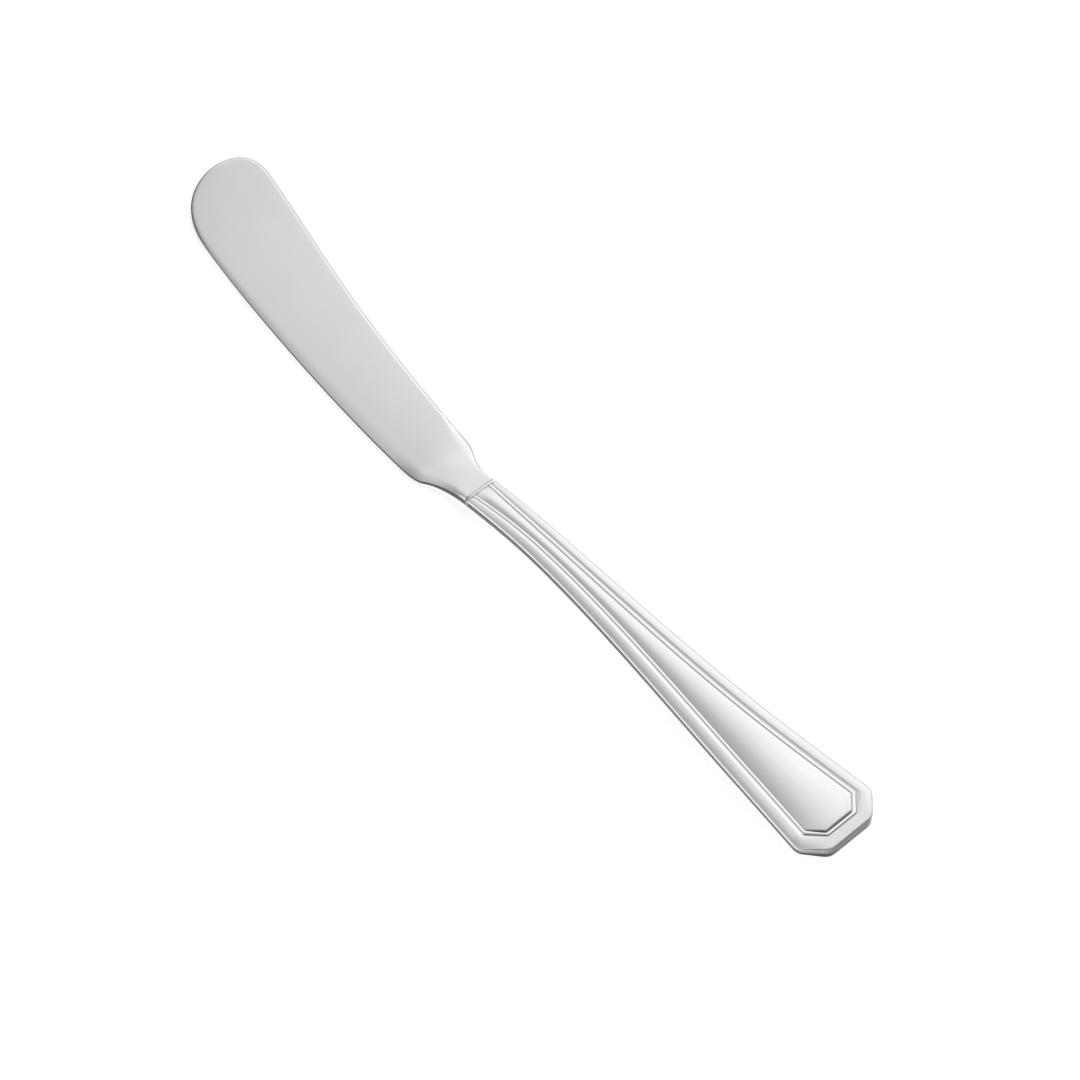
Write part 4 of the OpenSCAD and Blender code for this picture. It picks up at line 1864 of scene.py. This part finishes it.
        # The shell's inside gets painted shade.
        tones += [[self.inside_tone] * self.count] * len(inside)
        name = f"handle_shell_{self.face.name.lower()}"
        piece = RailBody(name, self.row.place, rails, tones=tones).build()
        soften(piece, self.sharp_from)
        return piece

    def dress(self, piece: bpy.types.Object) -> None:
        """Gives the shell its finish and its place in the frame.

        Args:
            piece: The shell.
        """
        piece.data.materials.append(POLISHED_STEEL.make())
        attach(piece, "root")
        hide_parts(f"handle_{self.face.name.lower()}_shell")


@dataclass
class SeamBraze:
    """The brazed seam between the shells' rims."""

    form: KnifeForm
    row: RowFrame
    outline: HandleOutline
    sharp_from: float = 40.0

    def build(self) -> bpy.types.Object:
        """Models the seam as a thin band.

        Returns:
            The finished piece.
        """
        f = self.form
        rails = [
            [(x, y, f.level(x) + side * f.seam / 2) for x, y in self.outline.rim(grow)]
            for grow, side in ((0.0, -1), (0.0, 1), (-f.sheet, 1), (-f.sheet, -1))
        ]
        piece = RailBody("seam_band", self.row.place, rails, ring=True).build()
        soften(piece, self.sharp_from)
        return piece

    def dress(self, piece: bpy.types.Object) -> None:
        """Gives the seam its finish and its place in the frame.

        Args:
            piece: The seam.
        """
        piece.data.materials.append(BRAZED_SEAM.make())
        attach(piece, "root")
        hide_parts("seam_braze")


@dataclass
class Filler:
    """The cement core, which stays the CAD node and gets its finish."""

    node: str = "handle_filler"

    def dress(self) -> None:
        """Gives the CAD node its finish."""
        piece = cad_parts[self.node]
        piece.data.materials.clear()
        piece.data.materials.append(CUTLERS_CEMENT.make())


# ---------------------------------------------------------------------------------------------
# Studio
# ---------------------------------------------------------------------------------------------


@dataclass
class Studio:
    """A white table under a soft light from the far side, and the camera."""

    row: RowFrame
    azimuth: float = 48.39
    elevation: float = 55.74
    distance: float = 0.60621
    aim: Spot = (12.766, 1.853, 0.0)
    focal_share: float = 3.3764
    sensor: float = 36.0
    floor_size: float = 12.0
    floor_drop: float = 0.00002
    floor_white: float = 0.95
    floor_roughness: float = 0.9
    floor_glow: float = 0.5
    # Brightness of the surroundings by the Y of a ray's direction
    sky: tuple[Flat, ...] = (
        (-1.0, 0.44),
        (-0.38, 0.48),
        (-0.15, 0.54),
        (0.12, 0.73),
        (0.37, 0.92),
        (0.6, 1.06),
        (0.77, 1.17),
        (1.0, 1.22),
    )

    def _towards_camera(self) -> Vector:
        """Direction from the knife to the camera."""
        a, e = math.radians(self.azimuth), math.radians(self.elevation)
        return Vector((math.sin(a) * math.cos(e), -math.cos(a) * math.cos(e), math.sin(e)))

    def floor(self) -> None:
        """Lays the table that the knife lies on."""
        leave_all()
        place = (0, 0, -self.floor_drop)
        bpy.ops.mesh.primitive_plane_add(size=self.floor_size, location=place)
        table = bpy.context.object
        table.name = "studio_table"
        material = bpy.data.materials.new("white_table")
        material.use_nodes = True
        wiring = Wiring(material.node_tree)
        shader = material.node_tree.nodes["Principled BSDF"]
        surface = {
            "Base Color": (*(self.floor_white,) * 3, 1.0),
            "Roughness": self.floor_roughness,
            "Specular IOR Level": 0.0,
        }
        wiring.fill(shader, surface)
        plain = shader.outputs["BSDF"]
        glow = wiring.add("ShaderNodeEmission", {"Strength": self.floor_glow})
        both = wiring.add("ShaderNodeAddShader", {0: plain, 1: glow.outputs["Emission"]})
        parts = {"Fac": self._seen_rays(wiring), 1: plain, 2: both.outputs["Shader"]}
        choice = wiring.add("ShaderNodeMixShader", parts).outputs["Shader"]
        wiring.fill(material.node_tree.nodes["Material Output"], {"Surface": choice})
        table.data.materials.append(material)

    @staticmethod
    def _seen_rays(wiring: Wiring) -> Socket:
        """Adds the choice of rays that show the background.

        Args:
            wiring: The material's nodes.

        Returns:
            1 for rays from the camera, from gloss and through glass.
        """
        path = wiring.add("ShaderNodeLightPath", {})
        total = path.outputs["Is Camera Ray"]
        for name in ("Is Glossy Ray", "Is Transmission Ray"):
            pair = {0: total, 1: path.outputs[name]}
            total = wiring.add("ShaderNodeMath", pair, operation="MAXIMUM").outputs["Value"]
        return total

    def surroundings(self) -> None:
        """Lights the knife from the world: bright beyond it, grey over it."""
        world = bpy.data.worlds.new("studio_light")
        bpy.context.scene.world = world
        world.use_nodes = True
        world.node_tree.nodes.clear()
        wiring = Wiring(world.node_tree)
        ray = wiring.add("ShaderNodeTexCoord", {}).outputs["Generated"]
        parts = wiring.add("ShaderNodeSeparateXYZ", {"Vector": ray})
        place = {"Value": parts.outputs["Y"], "From Min": -1.0}
        share = wiring.add("ShaderNodeMapRange", place)
        ramp = wiring.add("ShaderNodeValToRGB", {"Fac": share.outputs["Result"]})
        peak = self._fill_ramp(ramp.color_ramp)
        light = {"Strength": peak, "Color": ramp.outputs["Color"]}
        glow = wiring.add("ShaderNodeBackground", light).outputs["Background"]
        white = wiring.add("ShaderNodeBackground", {"Strength": 1.0}).outputs["Background"]
        seen = wiring.add("ShaderNodeLightPath", {}).outputs["Is Camera Ray"]
        choice = wiring.add("ShaderNodeMixShader", {"Fac": seen, 1: glow, 2: white})
        wiring.add("ShaderNodeOutputWorld", {"Surface": choice.outputs["Shader"]})

    def _fill_ramp(self, ramp: bpy.types.ColorRamp) -> float:
        """Sets a colour ramp to the brightness of the surroundings.

        Args:
            ramp: The ramp, which runs from Y = -1 to Y = 1.

        Returns:
            The brightness that the ramp's white stands for.
        """
        ramp.interpolation = "CARDINAL"
        peak = max(level for _, level in self.sky)
        marks = ramp.elements
        while len(marks) > 1:
            marks.remove(marks[-1])
        for number, (across, level) in enumerate(self.sky):
            place = (across + 1) / 2
            mark = marks[0] if number == 0 else marks.new(place)
            mark.position = place
            mark.color = (*(level / peak,) * 3, 1.0)
        return peak

    def camera(self) -> None:
        """Sets the camera at the photograph's viewing angle."""
        aim = self.row.place(self.aim)
        towards = self._towards_camera()
        data = bpy.data.cameras.new("camera")
        data.sensor_width = self.sensor
        data.lens = self.sensor * self.focal_share
        eye = bpy.data.objects.new("camera", data)
        bpy.context.scene.collection.objects.link(eye)
        eye.location = aim + towards * self.distance
        eye.rotation_euler = (-towards).to_track_quat("-Z", "Y").to_euler()
        bpy.context.scene.camera = eye

    def build(self) -> None:
        """Sets up the table, the light and the camera."""
        self.floor()
        self.surroundings()
        self.camera()
        bpy.context.scene.view_settings.view_transform = "Standard"


def main() -> None:
    logging.basicConfig(level=logging.INFO, format="%(message)s")
    form = KnifeForm()
    row = RowFrame.from_cad(form)
    outline = HandleOutline(form)
    Studio(row).build()
    for part in (
        Blade(form, row),
        NeckCollar(form, row),
        HandleShell(form, row, outline, Face.FRONT),
        HandleShell(form, row, outline, Face.BACK),
        SeamBraze(form, row, outline),
    ):
        piece = part.build()
        part.dress(piece)
        report(piece)
    Filler().dress()
    leave_all()


if __name__ == "__main__":
    main()
